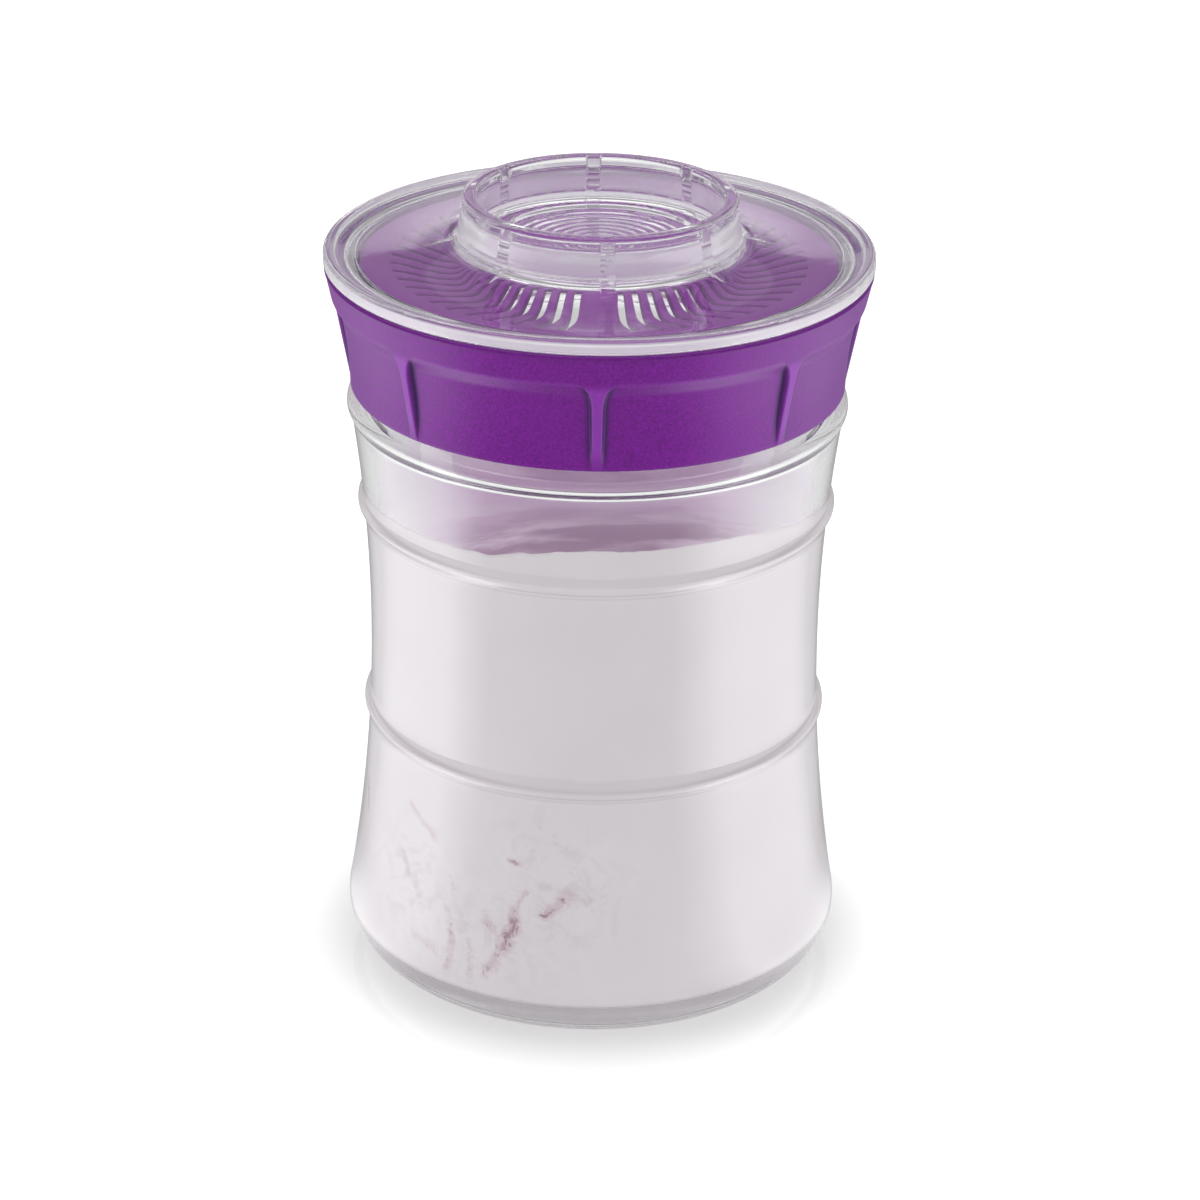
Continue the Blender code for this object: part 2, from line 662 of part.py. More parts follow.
def make_cover(group, bosses, coat):
    """The clear cover: rim, skirt with a thread, dish, and a cup with eight fins."""
    panel_top = CUP_TOP_Z - CUP_LIP_H
    panel_foot = panel_top - CUP_PANEL_H
    cup = [
        (0, CUP_FLOOR_Z - CUP_FLOOR_STEP),
        (CUP_FLOOR_R, CUP_FLOOR_Z - CUP_FLOOR_STEP),
        (CUP_FLOOR_R + CUP_EASE, CUP_FLOOR_Z),
    ]
    cup += arc(CUP_IN_R - CUP_FILLET, CUP_FLOOR_Z + CUP_FILLET, CUP_FILLET, -90, 0, 2)
    cup += [
        (CUP_IN_R, CUP_TOP_Z - CUP_LIP_EASE),
        (CUP_IN_R + CUP_LIP_EASE, CUP_TOP_Z),
        (CUP_R - CUP_LIP_EASE, CUP_TOP_Z),
        (CUP_R, CUP_TOP_Z - CUP_LIP_EASE),
        (CUP_R, panel_top),
        (CUP_R - CUP_PANEL_IN, panel_top - CUP_EASE),
        (CUP_R - CUP_PANEL_IN, panel_foot + CUP_EASE),
        (cup_wall_radius(panel_foot), panel_foot),
    ]
    wall_steps = 3
    for step in range(1, wall_steps + 1):
        z = panel_foot + (CUP_FOOT_Z + CUP_FLARE_H - panel_foot) * step / wall_steps
        cup.append((cup_wall_radius(z), z))
    foot_r = cup_wall_radius(CUP_FOOT_Z)
    cup.append(((foot_r + CUP_FOOT_R) / 2, CUP_FOOT_Z + CUP_FLARE_H / 4))
    dish_steps = 4
    dish = []
    for step in range(dish_steps + 1):
        r = CUP_FOOT_R + (DISH_R - CUP_FOOT_R) * step / dish_steps
        dish.append((r, dish_line(r)))
    edge_r = COVER_RIM_R - COVER_RIM_ROUND
    rim = [(DISH_R + COVER_RIM_SLOPE_W, COVER_RIM_TOP_Z)]
    rim += arc(edge_r, COVER_RIM_TOP_Z - COVER_RIM_ROUND, COVER_RIM_ROUND, 90, 0, 3)
    rim += arc(edge_r, COVER_RIM_Z + COVER_RIM_ROUND, COVER_RIM_ROUND, 0, -90, 3)
    skirt = [(SKIRT_R, COVER_RIM_Z), (SKIRT_R, SKIRT_Z), (SKIRT_IN_R, SKIRT_Z)]
    under = [(SKIRT_IN_R, DISH_Z - DISH_T)]
    under_r = SKIRT_IN_R - SKIRT_FILLET
    for step in range(dish_steps + 1):
        r = under_r + (CUP_FOOT_R - under_r) * step / dish_steps
        under.append((r, dish_line(r) - DISH_T))
    under += [(CUP_IN_R - CUP_UNDER_IN, CUP_FLOOR_Z - CUP_FLOOR_T), (0, CUP_FLOOR_Z - CUP_FLOOR_T)]
    profile = cup + dish + rim + skirt + under
    cover = turned("clear_cover", profile, COVER_SEGMENTS, group, COVER_RIM_Z, coat, closed=False)

    bm = bmesh.new()
    inner_r = CUP_R - CUP_PANEL_IN - FIN_SINK
    for index in range(CUP_FINS):
        angle = COVER_TURN + math.tau * index / CUP_FINS
        add_fin(bm, inner_r, angle)
    combine(cover, hidden("fin_boss", bm, bosses), "UNION")
    ridge = threads(
        "skirt_thread_boss",
        bosses,
        COVER_STARTS,
        0,
        root_r=SKIRT_R - THREAD_SINK,
        crest_r=COVER_CREST_R,
        root_h=COVER_THREAD_ROOT_H,
        crest_h=COVER_THREAD_CREST_H,
        z=SKIRT_Z + COVER_THREAD_RISE + COVER_THREAD_ROOT_H / 2,
        sweep=COVER_THREAD_SWEEP,
        lead=COVER_LEAD,
    )
    combine(cover, ridge, "UNION")
    return cover


def add_fin(bm, inner_r, angle):
    """Adds one upright fin with a spreading foot to the cup's boss mesh."""
    lip_z = CUP_TOP_Z - CUP_LIP_H / 2
    toe_r = CUP_FOOT_R + FIN_OUT
    toe_z = dish_line(toe_r)
    crest_r = CUP_R + FIN_PROUD
    steps = 5
    reach = toe_r - crest_r
    drop = lip_z - toe_z - FIN_TOE_H
    flare = 2.6
    fall = 1.6
    crest = []
    for step in range(steps + 1):
        share = step / steps
        crest.append((crest_r + reach * share**flare, lip_z - drop * (1 - (1 - share) ** fall)))
    outline = [(inner_r, lip_z)] + crest
    outline += [(toe_r, toe_z - DISH_T / 2), (inner_r, toe_z - DISH_T / 2)]
    turn = Matrix.Rotation(angle, 4, "Z")
    verts = [bm.verts.new(turn @ Vector((-FIN_W / 2, -r, z))) for r, z in outline]
    face = bm.faces.new(verts)
    made = bmesh.ops.extrude_face_region(bm, geom=[face])
    moved = [item for item in made["geom"] if isinstance(item, bmesh.types.BMVert)]
    across = turn @ Vector((FIN_W, 0, 0))
    bmesh.ops.translate(bm, vec=across, verts=moved)


def main():
    """Builds the whole jar."""
    clear_scene()
    jar_group = collection("kefir_jar")
    boss_group = collection("bosses_and_cutters")
    glass = material("clear_glass", (0.86, 0.9, 0.89), 0.03, alpha=0.35, transmission=1.0)
    milk = material("kefir_white", (0.87, 0.82, 0.84), 0.45)
    silicone = material("white_silicone", (0.8, 0.8, 0.79), 0.6)
    purple = material("purple_satin", (0.17, 0.022, 0.26), 0.38)
    strainer_purple = material("purple_gloss", (0.19, 0.028, 0.28), 0.3)
    clear = material("clear_plastic", (0.9, 0.9, 0.92), 0.05, alpha=0.35, transmission=1.0)

    make_glass(jar_group, boss_group, glass)
    make_kefir(jar_group, milk)
    gasket_r = LID_BORE_R - GASKET_SLACK
    make_washer("lid_gasket", gasket_r - GASKET_W, gasket_r, GASKET_Z, GASKET_T, jar_group, silicone)
    make_lid_ring(jar_group, boss_group, purple)
    make_strainer(jar_group, boss_group, strainer_purple)
    seal_r = SKIRT_R - SEAL_SLACK
    make_washer("cover_seal", seal_r - SKIRT_T, seal_r, SEAL_Z, SEAL_T, jar_group, silicone)
    make_cover(jar_group, boss_group, clear)


main()
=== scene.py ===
"""Looks of the kefir jar: pressed clear glass, white kefir, satin purple lid ring, glossy
purple strainer, and a clear cover with a finned measuring cup, on a white studio floor.

Metres, +Z up, -Y is the front. Angles round the axis start at the front and grow towards +X.
"""

import math

import bmesh
import bpy
from mathutils import Matrix, Vector, noise


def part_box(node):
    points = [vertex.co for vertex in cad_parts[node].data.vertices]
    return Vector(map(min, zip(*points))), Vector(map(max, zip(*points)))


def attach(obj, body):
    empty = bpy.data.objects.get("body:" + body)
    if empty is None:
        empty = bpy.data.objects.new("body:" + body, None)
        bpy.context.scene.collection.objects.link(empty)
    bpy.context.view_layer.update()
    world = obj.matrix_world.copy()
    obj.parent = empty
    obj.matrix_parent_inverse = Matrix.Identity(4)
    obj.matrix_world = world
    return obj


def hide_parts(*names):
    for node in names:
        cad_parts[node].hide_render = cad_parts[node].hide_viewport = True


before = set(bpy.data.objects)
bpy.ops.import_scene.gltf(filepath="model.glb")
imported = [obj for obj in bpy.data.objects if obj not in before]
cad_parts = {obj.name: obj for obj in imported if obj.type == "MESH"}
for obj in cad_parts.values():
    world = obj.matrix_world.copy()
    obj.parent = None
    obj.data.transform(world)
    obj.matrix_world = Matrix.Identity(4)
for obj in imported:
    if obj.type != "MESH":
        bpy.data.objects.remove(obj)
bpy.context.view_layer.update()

MM = 0.001

# Levels and radii read from the frame
JAR_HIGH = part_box("glass_jar")[1]
KEFIR_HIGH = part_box("kefir_fill")[1]
GASKET_LOW, GASKET_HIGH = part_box("lid_gasket")
RING_LOW, RING_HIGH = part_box("lid_ring")
STRAINER_LOW, STRAINER_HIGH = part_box("strainer")
SEAL_LOW, SEAL_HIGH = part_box("cover_seal")
COVER_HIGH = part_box("clear_cover")[1]

# Glass body
WAIST_R = 48.5 * MM
WAIST_Z = 76.35 * MM
LOWER_FLARE_R = 375 * MM
UPPER_FLARE_R = 345 * MM
HEEL_R = 10.7 * MM
HEEL_TILT = 10
GLASS_WALL = 3.0 * MM
GLASS_FLOOR = 6.5 * MM
INNER_HEEL_R = 9.0 * MM
FOOT_W = 3.0 * MM
FOOT_EASE = 0.5 * MM
PUNT_H = 1.6 * MM
PUNT_SLOPE_W = 16.0 * MM
HOOP_Z = (58.6 * MM, 105.5 * MM)
HOOP_REACH = 2.1 * MM  # half the height of a hoop with its fillets
HOOP_OUT = 1.2 * MM
BODY_TOP_Z = 124.6 * MM
BEAD_H = 5.6 * MM
BEAD_OUT = 1.1 * MM
BEAD_RISE = 3.25 * MM
BEAD_ROUND = 2.4 * MM

# Glass neck and its thread
MOUTH_Z = JAR_HIGH.z
NECK_INSET = 4.79 * MM
NECK_WALL = 3.4 * MM
NECK_FILLET = 2.0 * MM
NECK_FOOT_RISE = 1.1 * MM
NECK_BEND_H = 9.0 * MM
MOUTH_EASE = 1.0 * MM
JAR_LEAD = 15 * MM
JAR_THREAD = (3, JAR_LEAD, 0.5 * MM, 0.9 * MM)  # starts, lead, half heights at its crest and root
JAR_THREAD_OUT = 1.4 * MM
JAR_THREAD_SWEEP = math.radians(100)
JAR_THREAD_DROP = 7.7 * MM
LID_THREAD_SWEEP = math.radians(80)
LID_THREAD_LAG = math.radians(30)
LID_THREAD_UNDER = 1.635 * MM  # the lid's thread lies this far under the glass one
THREAD_GAP = 0.45 * MM
THREAD_RUN_OUT = math.radians(8)  # the stretch over which a thread's ends sink

# Lid ring
LID_BOTTOM_Z = RING_LOW.z
LID_TOP_Z = RING_HIGH.z
LID_BORE_SLACK = 0.9 * MM
LID_FOOT_WALL = 1.75 * MM
LID_EASE = 0.4 * MM
SHELF_T = 1.5 * MM
SHELF_OVERHANG = 4.7 * MM
SOCKET_H = 7.55 * MM
SOCKET_STEP = 3.4 * MM
SOCKET_WALL = 3.4 * MM
BAND_H = 6.25 * MM
BAND_TAPER = 1.35 * MM
LEDGE_H = 2.7 * MM
LEDGE_IN = 1.3 * MM
PANEL_IN = 0.05 * MM
PANEL_HOLLOW = 0.5 * MM
GRIP_RIBS = 8
RIB_TOP_W = 1.7 * MM
RIB_FOOT_W = 1.3 * MM
RIB_FILLET_W = 2.6 * MM
RIB_FILLET_H = 6.0 * MM
RIB_SIDE_W = 0.9 * MM
BORDER_HIGHLIGHT = 0.48  # how strong the painted highlights on the ribs' borders, their crests and the ledge are, from 0 to 1
CREST_HIGHLIGHT = 0.45
LEDGE_HIGHLIGHT = 0.15

# Seals
GASKET_W = 5.0 * MM
SEAL_EASE = 0.3  # how round a seal's edges are, as a share of its thickness

# Cover thread
COVER_THREAD = (4, 12 * MM, 0.3 * MM, 0.5 * MM)
COVER_THREAD_OUT = 0.8 * MM
COVER_THREAD_SWEEP = math.radians(30)
COVER_THREAD_RISE = 1.12 * MM  # from the skirt's bottom edge to the middle of a thread
SOCKET_THREAD_RISE = 2.52 * MM  # and to the middle of the socket's thread
SOCKET_THREAD_GAP = 0.4 * MM

# Strainer
STRAINER_T = 1.5 * MM
FLANGE_T = 1.2 * MM
FLANGE_SLACK = 0.2 * MM
STRAINER_RIM_W = 5.4 * MM
STRAINER_EDGE = 0.5 * MM
TROUGH_DEPTH = 2.7 * MM
TROUGH_IN_R = 30.2 * MM
HUB_R = 23.6 * MM
SLOTS_PER_SIDE = 24
SLOT_W = 1.6 * MM
SLOT_SPOKE = math.radians(9.8)
SLOT_END_IN = 1.6 * MM
SLOT_START_IN = 0.6 * MM
SLOT_PITCH = (math.pi - 2 * SLOT_SPOKE) / (SLOTS_PER_SIDE - 1)

# Clear cover
SKIRT_SLACK = 1.3 * MM
SKIRT_T = 1.6 * MM
SKIRT_TO_STRAINER = 0.6 * MM
COVER_RIM_H = 3.4 * MM
COVER_RIM_W = 2.9 * MM
COVER_RIM_SLOPE_W = 0.9 * MM
COVER_RIM_ROUND = 1.1 * MM
DISH_T = 2.0 * MM
DISH_DROP = 0.85 * MM
DISH_RISE = 2.8 * MM
SKIRT_FILLET = 0.5 * MM
CUP_R = 28.75 * MM
CUP_WALL = 3.0 * MM
CUP_EASE = 0.35 * MM
CUP_LIP_EASE = 0.7 * MM
CUP_FILLET = 1.8 * MM
CUP_FOOT_OUT = 1.9 * MM
CUP_FOOT_RISE = 0.5 * MM
CUP_FLARE_H = 1.2 * MM
CUP_TAPER = 1.1 * MM
CUP_PANEL_IN = 0.75 * MM
CUP_PANEL_H = 1.9 * MM
CUP_LIP_H = 1.1 * MM
CUP_FLOOR_DROP = 0.7 * MM
CUP_FLOOR_T = 1.9 * MM
CUP_FLOOR_R = 21.0 * MM
CUP_FLOOR_STEP = 0.3 * MM
CUP_UNDER_IN = 1.5 * MM
RIPPLE_OUT = 0.09 * MM  # concentric ripples in the cup's floor
RIPPLE_W = 2.3 * MM
CUP_FINS = 8
FIN_W = 3.0 * MM
FIN_SIDE_W = 0.45 * MM
FIN_OUT = 2.0 * MM
FIN_PROUD = 0.05 * MM
FIN_TOE_H = 0.25 * MM
COVER_TURN = math.radians(3.2)  # how far round the fins stand
RIM_SIDE_FROST = 0.6  # how white the clear plastic looks, from 0 to 1
RIM_TOP_FROST = 0.15
CUP_WALL_FROST = 0.42
CUP_INSIDE_FROST = 0.26
FIN_FROST = 0.2
FROST_ROUGHNESS = 0.6  # how matt full frost is

# Kefir
KEFIR_TOP_Z = KEFIR_HIGH.z
HOOP_SHADES = ((1.8 * MM, 0.7 * MM, 0.4), (3.2 * MM, 0.5 * MM, 0.2))  # drop, half width and depth of the painted shade under each hoop
KEFIR_WETS = 0.06 * MM  # the kefir reaches this far into the glass, so that no air lies between
KEFIR_SAG = 1.5 * MM  # how far its middle lies under its top level
KEFIR_LUMPS = 0.9 * MM
KEFIR_EDGE_H = 12 * MM  # over which its side follows the ragged edge

# Smoothness
JAR_COLUMNS = 192
KEFIR_COLUMNS = 360
KEFIR_ROW = 0.8 * MM
RING_COLUMNS = 160
FINE_ROW = 0.4 * MM
PLAIN_ROW = 2.0 * MM
SLOT_ROW = 0.9 * MM


# Shape helpers


def eased(share):
    """A share from 0 to 1 that starts and ends level."""
    share = max(0.0, min(1.0, share))
    return share * share * (3 - 2 * share)


def bell(away, reach):
    """1 at a place, and falling softly to 0 round it."""
    return math.exp(-((away / reach) ** 2))


def arc(centre_r, centre_z, radius, start, end, steps):
    """Points along an arc of a turned profile, angles in degrees from +X."""
    points = []
    for step in range(steps + 1):
        angle = math.radians(start + (end - start) * step / steps)
        points.append((centre_r + radius * math.cos(angle), centre_z + radius * math.sin(angle)))
    return points


def levels(top, bottom, spacing):
    """Evenly spaced heights or radii from top to bottom, both included."""
    count = max(1, math.ceil(abs(top - bottom) / spacing))
    return [top + (bottom - top) * step / count for step in range(count + 1)]


def softened(line, z, reach):
    """The mean of a line over a short stretch, which rounds its corners."""
    parts = 5
    return sum(line(z + reach * (2 * part / (parts - 1) - 1)) for part in range(parts)) / parts


def slope(r, z, across, rise, steps):
    """Points of a soft slope that starts and ends level, without its first."""
    shares = [step / steps for step in range(1, steps + 1)]
    return [(r + across * share, z + rise * eased(share)) for share in shares]


def around(radius, angle, z):
    """A point at an angle round the axis from the front."""
    return Vector((radius * math.sin(angle), -radius * math.cos(angle), z))


def polar(co):
    """Radius, angle and height of a point."""
    return math.hypot(co.x, co.y), math.atan2(co.x, -co.y), co.z


def spun(profile, columns, closed=True):
    """Turns a profile of radii and heights round the axis."""
    bm = bmesh.new()
    verts = [bm.verts.new((0, -r, z)) for r, z in profile]
    first = 0 if closed else 1
    edges = [bm.edges.new((verts[i - 1], verts[i])) for i in range(first, len(verts))]
    bmesh.ops.spin(
        bm,
        geom=verts + edges,
        axis=(0, 0, 1),
        cent=(0, 0, 0),
        dvec=(0, 0, 0),
        angle=math.tau,
        steps=columns,
        use_merge=True,
    )
    bmesh.ops.remove_doubles(bm, verts=bm.verts, dist=0.002 * MM)
    return bm


def thread_lift(angle, z, thread, first, sweep, low_z):
    """How high, from 0 to 1, a thread stands at a place on its wall."""
    starts, lead, crest_half, root_half = thread
    turn = math.tau / starts
    along = (angle - math.pi / 2 - first) % turn
    best = 0.0
    for index in range(2):
        here = along + turn * index - (turn if index else 0)
        if 0 <= here <= sweep:
            middle = low_z + lead * here / math.tau
            across = (root_half - abs(z - middle)) / (root_half - crest_half)
            ends = min(here, sweep - here) / THREAD_RUN_OUT
            best = max(best, eased(across) * eased(ends))
    return best


def piece(name, bm, body, node, coat):
    """Makes a bmesh a piece that stands for a CAD node and rides on its body."""
    bmesh.ops.recalc_face_normals(bm, faces=bm.faces)
    mesh = bpy.data.meshes.new(name)
    bm.to_mesh(mesh)
    bm.free()
    mesh.shade_smooth()
    obj = bpy.data.objects.new(name, mesh)
    bpy.context.scene.collection.objects.link(obj)
    mesh.materials.append(coat)
    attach(obj, body)
    if node:
        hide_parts(node)
    return obj


# Material helpers


def new_material(name, values):
    """A new material, its node tree and its Principled shader with these values."""
    made = bpy.data.materials.new(name)
    made.use_nodes = True
    shader = made.node_tree.nodes["Principled BSDF"]
    for socket, value in values.items():
        shader.inputs[socket].default_value = value
    return made, made.node_tree, shader


def add(tree, kind, inputs=None, **settings):
    """Adds a node with its settings and input values."""
    node = tree.nodes.new(kind)
    for name, value in settings.items():
        setattr(node, name, value)
    for name, value in (inputs or {}).items():
        node.inputs[name].default_value = value
    return node


def place_of(tree):
    """The Object coordinates, which every pattern reads."""
    return add(tree, "ShaderNodeTexCoord").outputs["Object"]


def parts_of(tree, vector):
    """The X, Y and Z of a vector socket."""
    made = add(tree, "ShaderNodeSeparateXYZ")
    tree.links.new(vector, made.inputs[0])
    return made.outputs["X"], made.outputs["Y"], made.outputs["Z"]


def mask_of(tree, name):
    """A piece's own attribute, from 0 to 1."""
    return add(tree, "ShaderNodeAttribute", attribute_name=name).outputs["Fac"]


def noise_of(tree, scale, detail=3.0, roughness=0.5, distortion=0.0, stretch=None):
    """A noise pattern on Object coordinates, with scale in cycles a metre."""
    where = place_of(tree)
    if stretch:
        mapping = add(tree, "ShaderNodeMapping", {"Scale": stretch})
        tree.links.new(where, mapping.inputs["Vector"])
        where = mapping.outputs["Vector"]
    values = {"Scale": scale, "Detail": detail, "Roughness": roughness, "Distortion": distortion}
    made = add(tree, "ShaderNodeTexNoise", values)
    tree.links.new(where, made.inputs["Vector"])
    return made.outputs["Fac"]


def remap(tree, source, low, high, to_low, to_high, smooth=False):
    """Maps a range of values to another, clamped."""
    values = {"From Min": low, "From Max": high, "To Min": to_low, "To Max": to_high}
    made = add(tree, "ShaderNodeMapRange", values)
    if smooth:
        made.interpolation_type = "SMOOTHSTEP"
    tree.links.new(source, made.inputs["Value"])
    return made.outputs["Result"]


def maths(tree, operation, first, second):
    """One sum on two sockets or numbers."""
    made = add(tree, "ShaderNodeMath", operation=operation)
    for index, value in enumerate((first, second)):
        if isinstance(value, (int, float)):
            made.inputs[index].default_value = value
        else:
            tree.links.new(value, made.inputs[index])
    return made.outputs[0]


def mix_of(tree, kind, sort, factor, first, second):
    """Two numbers, colours or sockets mixed by a factor socket."""
    made = add(tree, "ShaderNodeMix", data_type=kind)
    tree.links.new(factor, made.inputs["Factor"])
    for name, value in (("A", first), ("B", second)):
        slot = [item for item in made.inputs if item.name == name and item.type == sort][0]
        if isinstance(value, tuple):
            slot.default_value = (*value, 1)
        elif isinstance(value, (int, float)):
            slot.default_value = value
        else:
            tree.links.new(value, slot)
    return [item for item in made.outputs if item.type == sort][0]


def blended(tree, factor, first, second):
    """A colour mixed from two colours or sockets."""
    return mix_of(tree, "RGBA", "RGBA", factor, first, second)


def picked(tree, factor, first, second):
    """A number mixed from two numbers or sockets."""
    return mix_of(tree, "FLOAT", "VALUE", factor, first, second)


def bumped(tree, shader, height, distance, strength=1.0, under=None):
    """Adds relief to a shader, over the relief of another bump if one is given."""
    made = add(tree, "ShaderNodeBump", {"Strength": strength, "Distance": distance})
    tree.links.new(height, made.inputs["Height"])
    if under:
        tree.links.new(under, made.inputs["Normal"])
    tree.links.new(made.outputs["Normal"], shader.inputs["Normal"])
    return made.outputs["Normal"]


def clear_where(tree, shader, factor, tint):
    """Turns a material clear, with a tint, as far as a factor socket says."""
    clear = add(tree, "ShaderNodeBsdfTransparent", {"Color": (*tint, 1)})
    mix = add(tree, "ShaderNodeMixShader")
    for index, socket in enumerate((factor, shader.outputs[0], clear.outputs[0])):
        tree.links.new(socket, mix.inputs[index])
    tree.links.new(mix.outputs[0], tree.nodes["Material Output"].inputs["Surface"])


def lets_lamps_through(tree, shader, tint):
    """Lets lamp light straight through a clear piece, so that what is in it is lit cleanly."""
    paths = add(tree, "ShaderNodeLightPath").outputs
    either = maths(tree, "MAXIMUM", paths["Is Shadow Ray"], paths["Is Diffuse Ray"])
    clear_where(tree, shader, either, tint)


def varied(tree, shader, pattern, first, second, smooth, rough):
    """Lets a pattern vary a shader's colour and roughness a little."""
    colour = blended(tree, remap(tree, pattern, 0.3, 0.7, 0, 1), first, second)
    tree.links.new(colour, shader.inputs["Base Color"])
    tree.links.new(remap(tree, pattern, 0.3, 0.7, smooth, rough), shader.inputs["Roughness"])


# Materials


SATIN_DEEP = (0.118, 0.001, 0.185)
SATIN_LIGHT = (0.228, 0.007, 0.345)
SATIN_PATCH = (0.22, 0.01, 0.33)
SATIN_RIB_SHADE = (0.035, 0.0005, 0.085)
SATIN_HIGHLIGHT = (0.38, 0.075, 0.6)
SATIN_RIM_SHADOW = (0.075, 0.002, 0.11)  # painted shadow of the cover's rim along the ring's top, between these heights
SATIN_RIM_SHADOW_H = (LID_TOP_Z - 1.7 * MM, LID_TOP_Z - 0.6 * MM)
MILK = ((0.79, 0.735, 0.775), (0.82, 0.77, 0.805))
MILK_IN_SHADE = (0.45, 0.36, 0.40)
CURD = (0.66, 0.585, 0.62)
WHEY_HALO = (0.60, 0.43, 0.51)
WHEY_CRUMB = (0.32, 0.14, 0.19)
# Painted light and shade that the purple lid casts on the kefir's top: dark at the front and back,
# light in the middle, light streaks, lighter at the sides
PAINTED_TOP_FRONT = (0.42, 0.245, 0.39)
PAINTED_TOP_MIDDLE = (0.97, 0.68, 0.94)
PAINTED_TOP_BACK = (0.28, 0.15, 0.27)
PAINTED_TOP_STREAK = (0.96, 0.78, 0.93)
PAINTED_TOP_SIDE = (0.95, 0.91, 0.95)


def make_clear_glass():
    """Pressed soda glass: almost colourless, with slow waves from the mould."""
    values = {"Base Color": (0.985, 0.992, 0.99, 1), "Transmission Weight": 1.0, "IOR": 1.5}
    made, tree, shader = new_material("clear_glass", values)
    smudge = noise_of(tree, 45, 4)
    tree.links.new(remap(tree, smudge, 0.5, 0.75, 0.0, 0.035), shader.inputs["Roughness"])
    waves = noise_of(tree, 70, 2, stretch=(1, 1, 0.45))
    slow = bumped(tree, shader, waves, 0.06 * MM)
    bumped(tree, shader, noise_of(tree, 420, 2), 0.004 * MM, under=slow)
    lets_lamps_through(tree, shader, (0.97, 0.975, 0.975))
    return made


def make_clear_plastic():
    """Moulded clear plastic: faint flow waves, a fine grain, and frost where its own mask says."""
    values = {"Base Color": (0.985, 0.983, 0.992, 1), "IOR": 1.49}
    made, tree, shader = new_material("clear_plastic", values)
    haze = remap(tree, noise_of(tree, 60, 4), 0.45, 0.8, 0.0, 0.05)
    frost = mask_of(tree, "frost")
    matt = maths(tree, "MULTIPLY", maths(tree, "POWER", frost, 2), FROST_ROUGHNESS)
    tree.links.new(maths(tree, "ADD", haze, matt), shader.inputs["Roughness"])
    tree.links.new(maths(tree, "SUBTRACT", 1, frost), shader.inputs["Transmission Weight"])
    flow = bumped(tree, shader, noise_of(tree, 90, 2), 0.03 * MM)
    bumped(tree, shader, noise_of(tree, 700, 2), 0.002 * MM, under=flow)
    lets_lamps_through(tree, shader, (0.96, 0.96, 0.97))
    return made


def make_purple_satin():
    """Satin moulded plastic with a fine sparkle: painted highlights on the ribs' borders, crests and
    ledge, painted shade in the nooks beside the ribs, and a painted shadow under the cover's rim.
    """
    made, tree, shader = new_material("purple_satin", {"Specular IOR Level": 0.22})
    grain = noise_of(tree, 1900, 2, 0.6)
    patch = noise_of(tree, 35, 3)
    body = blended(tree, remap(tree, grain, 0.35, 0.7, 0, 1), SATIN_DEEP, SATIN_LIGHT)
    body = blended(tree, remap(tree, patch, 0.3, 0.7, 0, 0.25), body, SATIN_PATCH)
    # Painted shade in the nooks beside the ribs, then painted highlights on their borders, crests and
    # the ledge
    body = blended(tree, mask_of(tree, "rib_shade"), body, SATIN_RIB_SHADE)
    body = blended(tree, mask_of(tree, "rib_highlight"), body, SATIN_HIGHLIGHT)
    height = parts_of(tree, place_of(tree))[2]
    # Painted shadow of the cover's rim, darkening the ring just under its top
    rim_shadow = remap(tree, height, *SATIN_RIM_SHADOW_H, 0, 0.28, smooth=True)
    tree.links.new(blended(tree, rim_shadow, body, SATIN_RIM_SHADOW), shader.inputs["Base Color"])
    tree.links.new(remap(tree, grain, 0.3, 0.7, 0.3, 0.42), shader.inputs["Roughness"])
    bumped(tree, shader, grain, 0.012 * MM, 0.5)
    return made


def make_purple_gloss():
    """Smooth moulded plastic, as on the strainer."""
    made, tree, shader = new_material("purple_gloss", {"Specular IOR Level": 0.1})
    varied(tree, shader, noise_of(tree, 50, 3), (0.26, 0.03, 0.34), (0.31, 0.045, 0.40), 0.3, 0.4)
    bumped(tree, shader, noise_of(tree, 900, 2), 0.004 * MM, 0.5)
    return made


def make_white_silicone():
    """Milky soft silicone."""
    made, tree, shader = new_material("white_silicone", {})
    speck = noise_of(tree, 900, 2)
    varied(tree, shader, speck, (0.78, 0.78, 0.77), (0.86, 0.86, 0.85), 0.45, 0.6)
    bumped(tree, shader, speck, 0.01 * MM, 0.4)
    return made


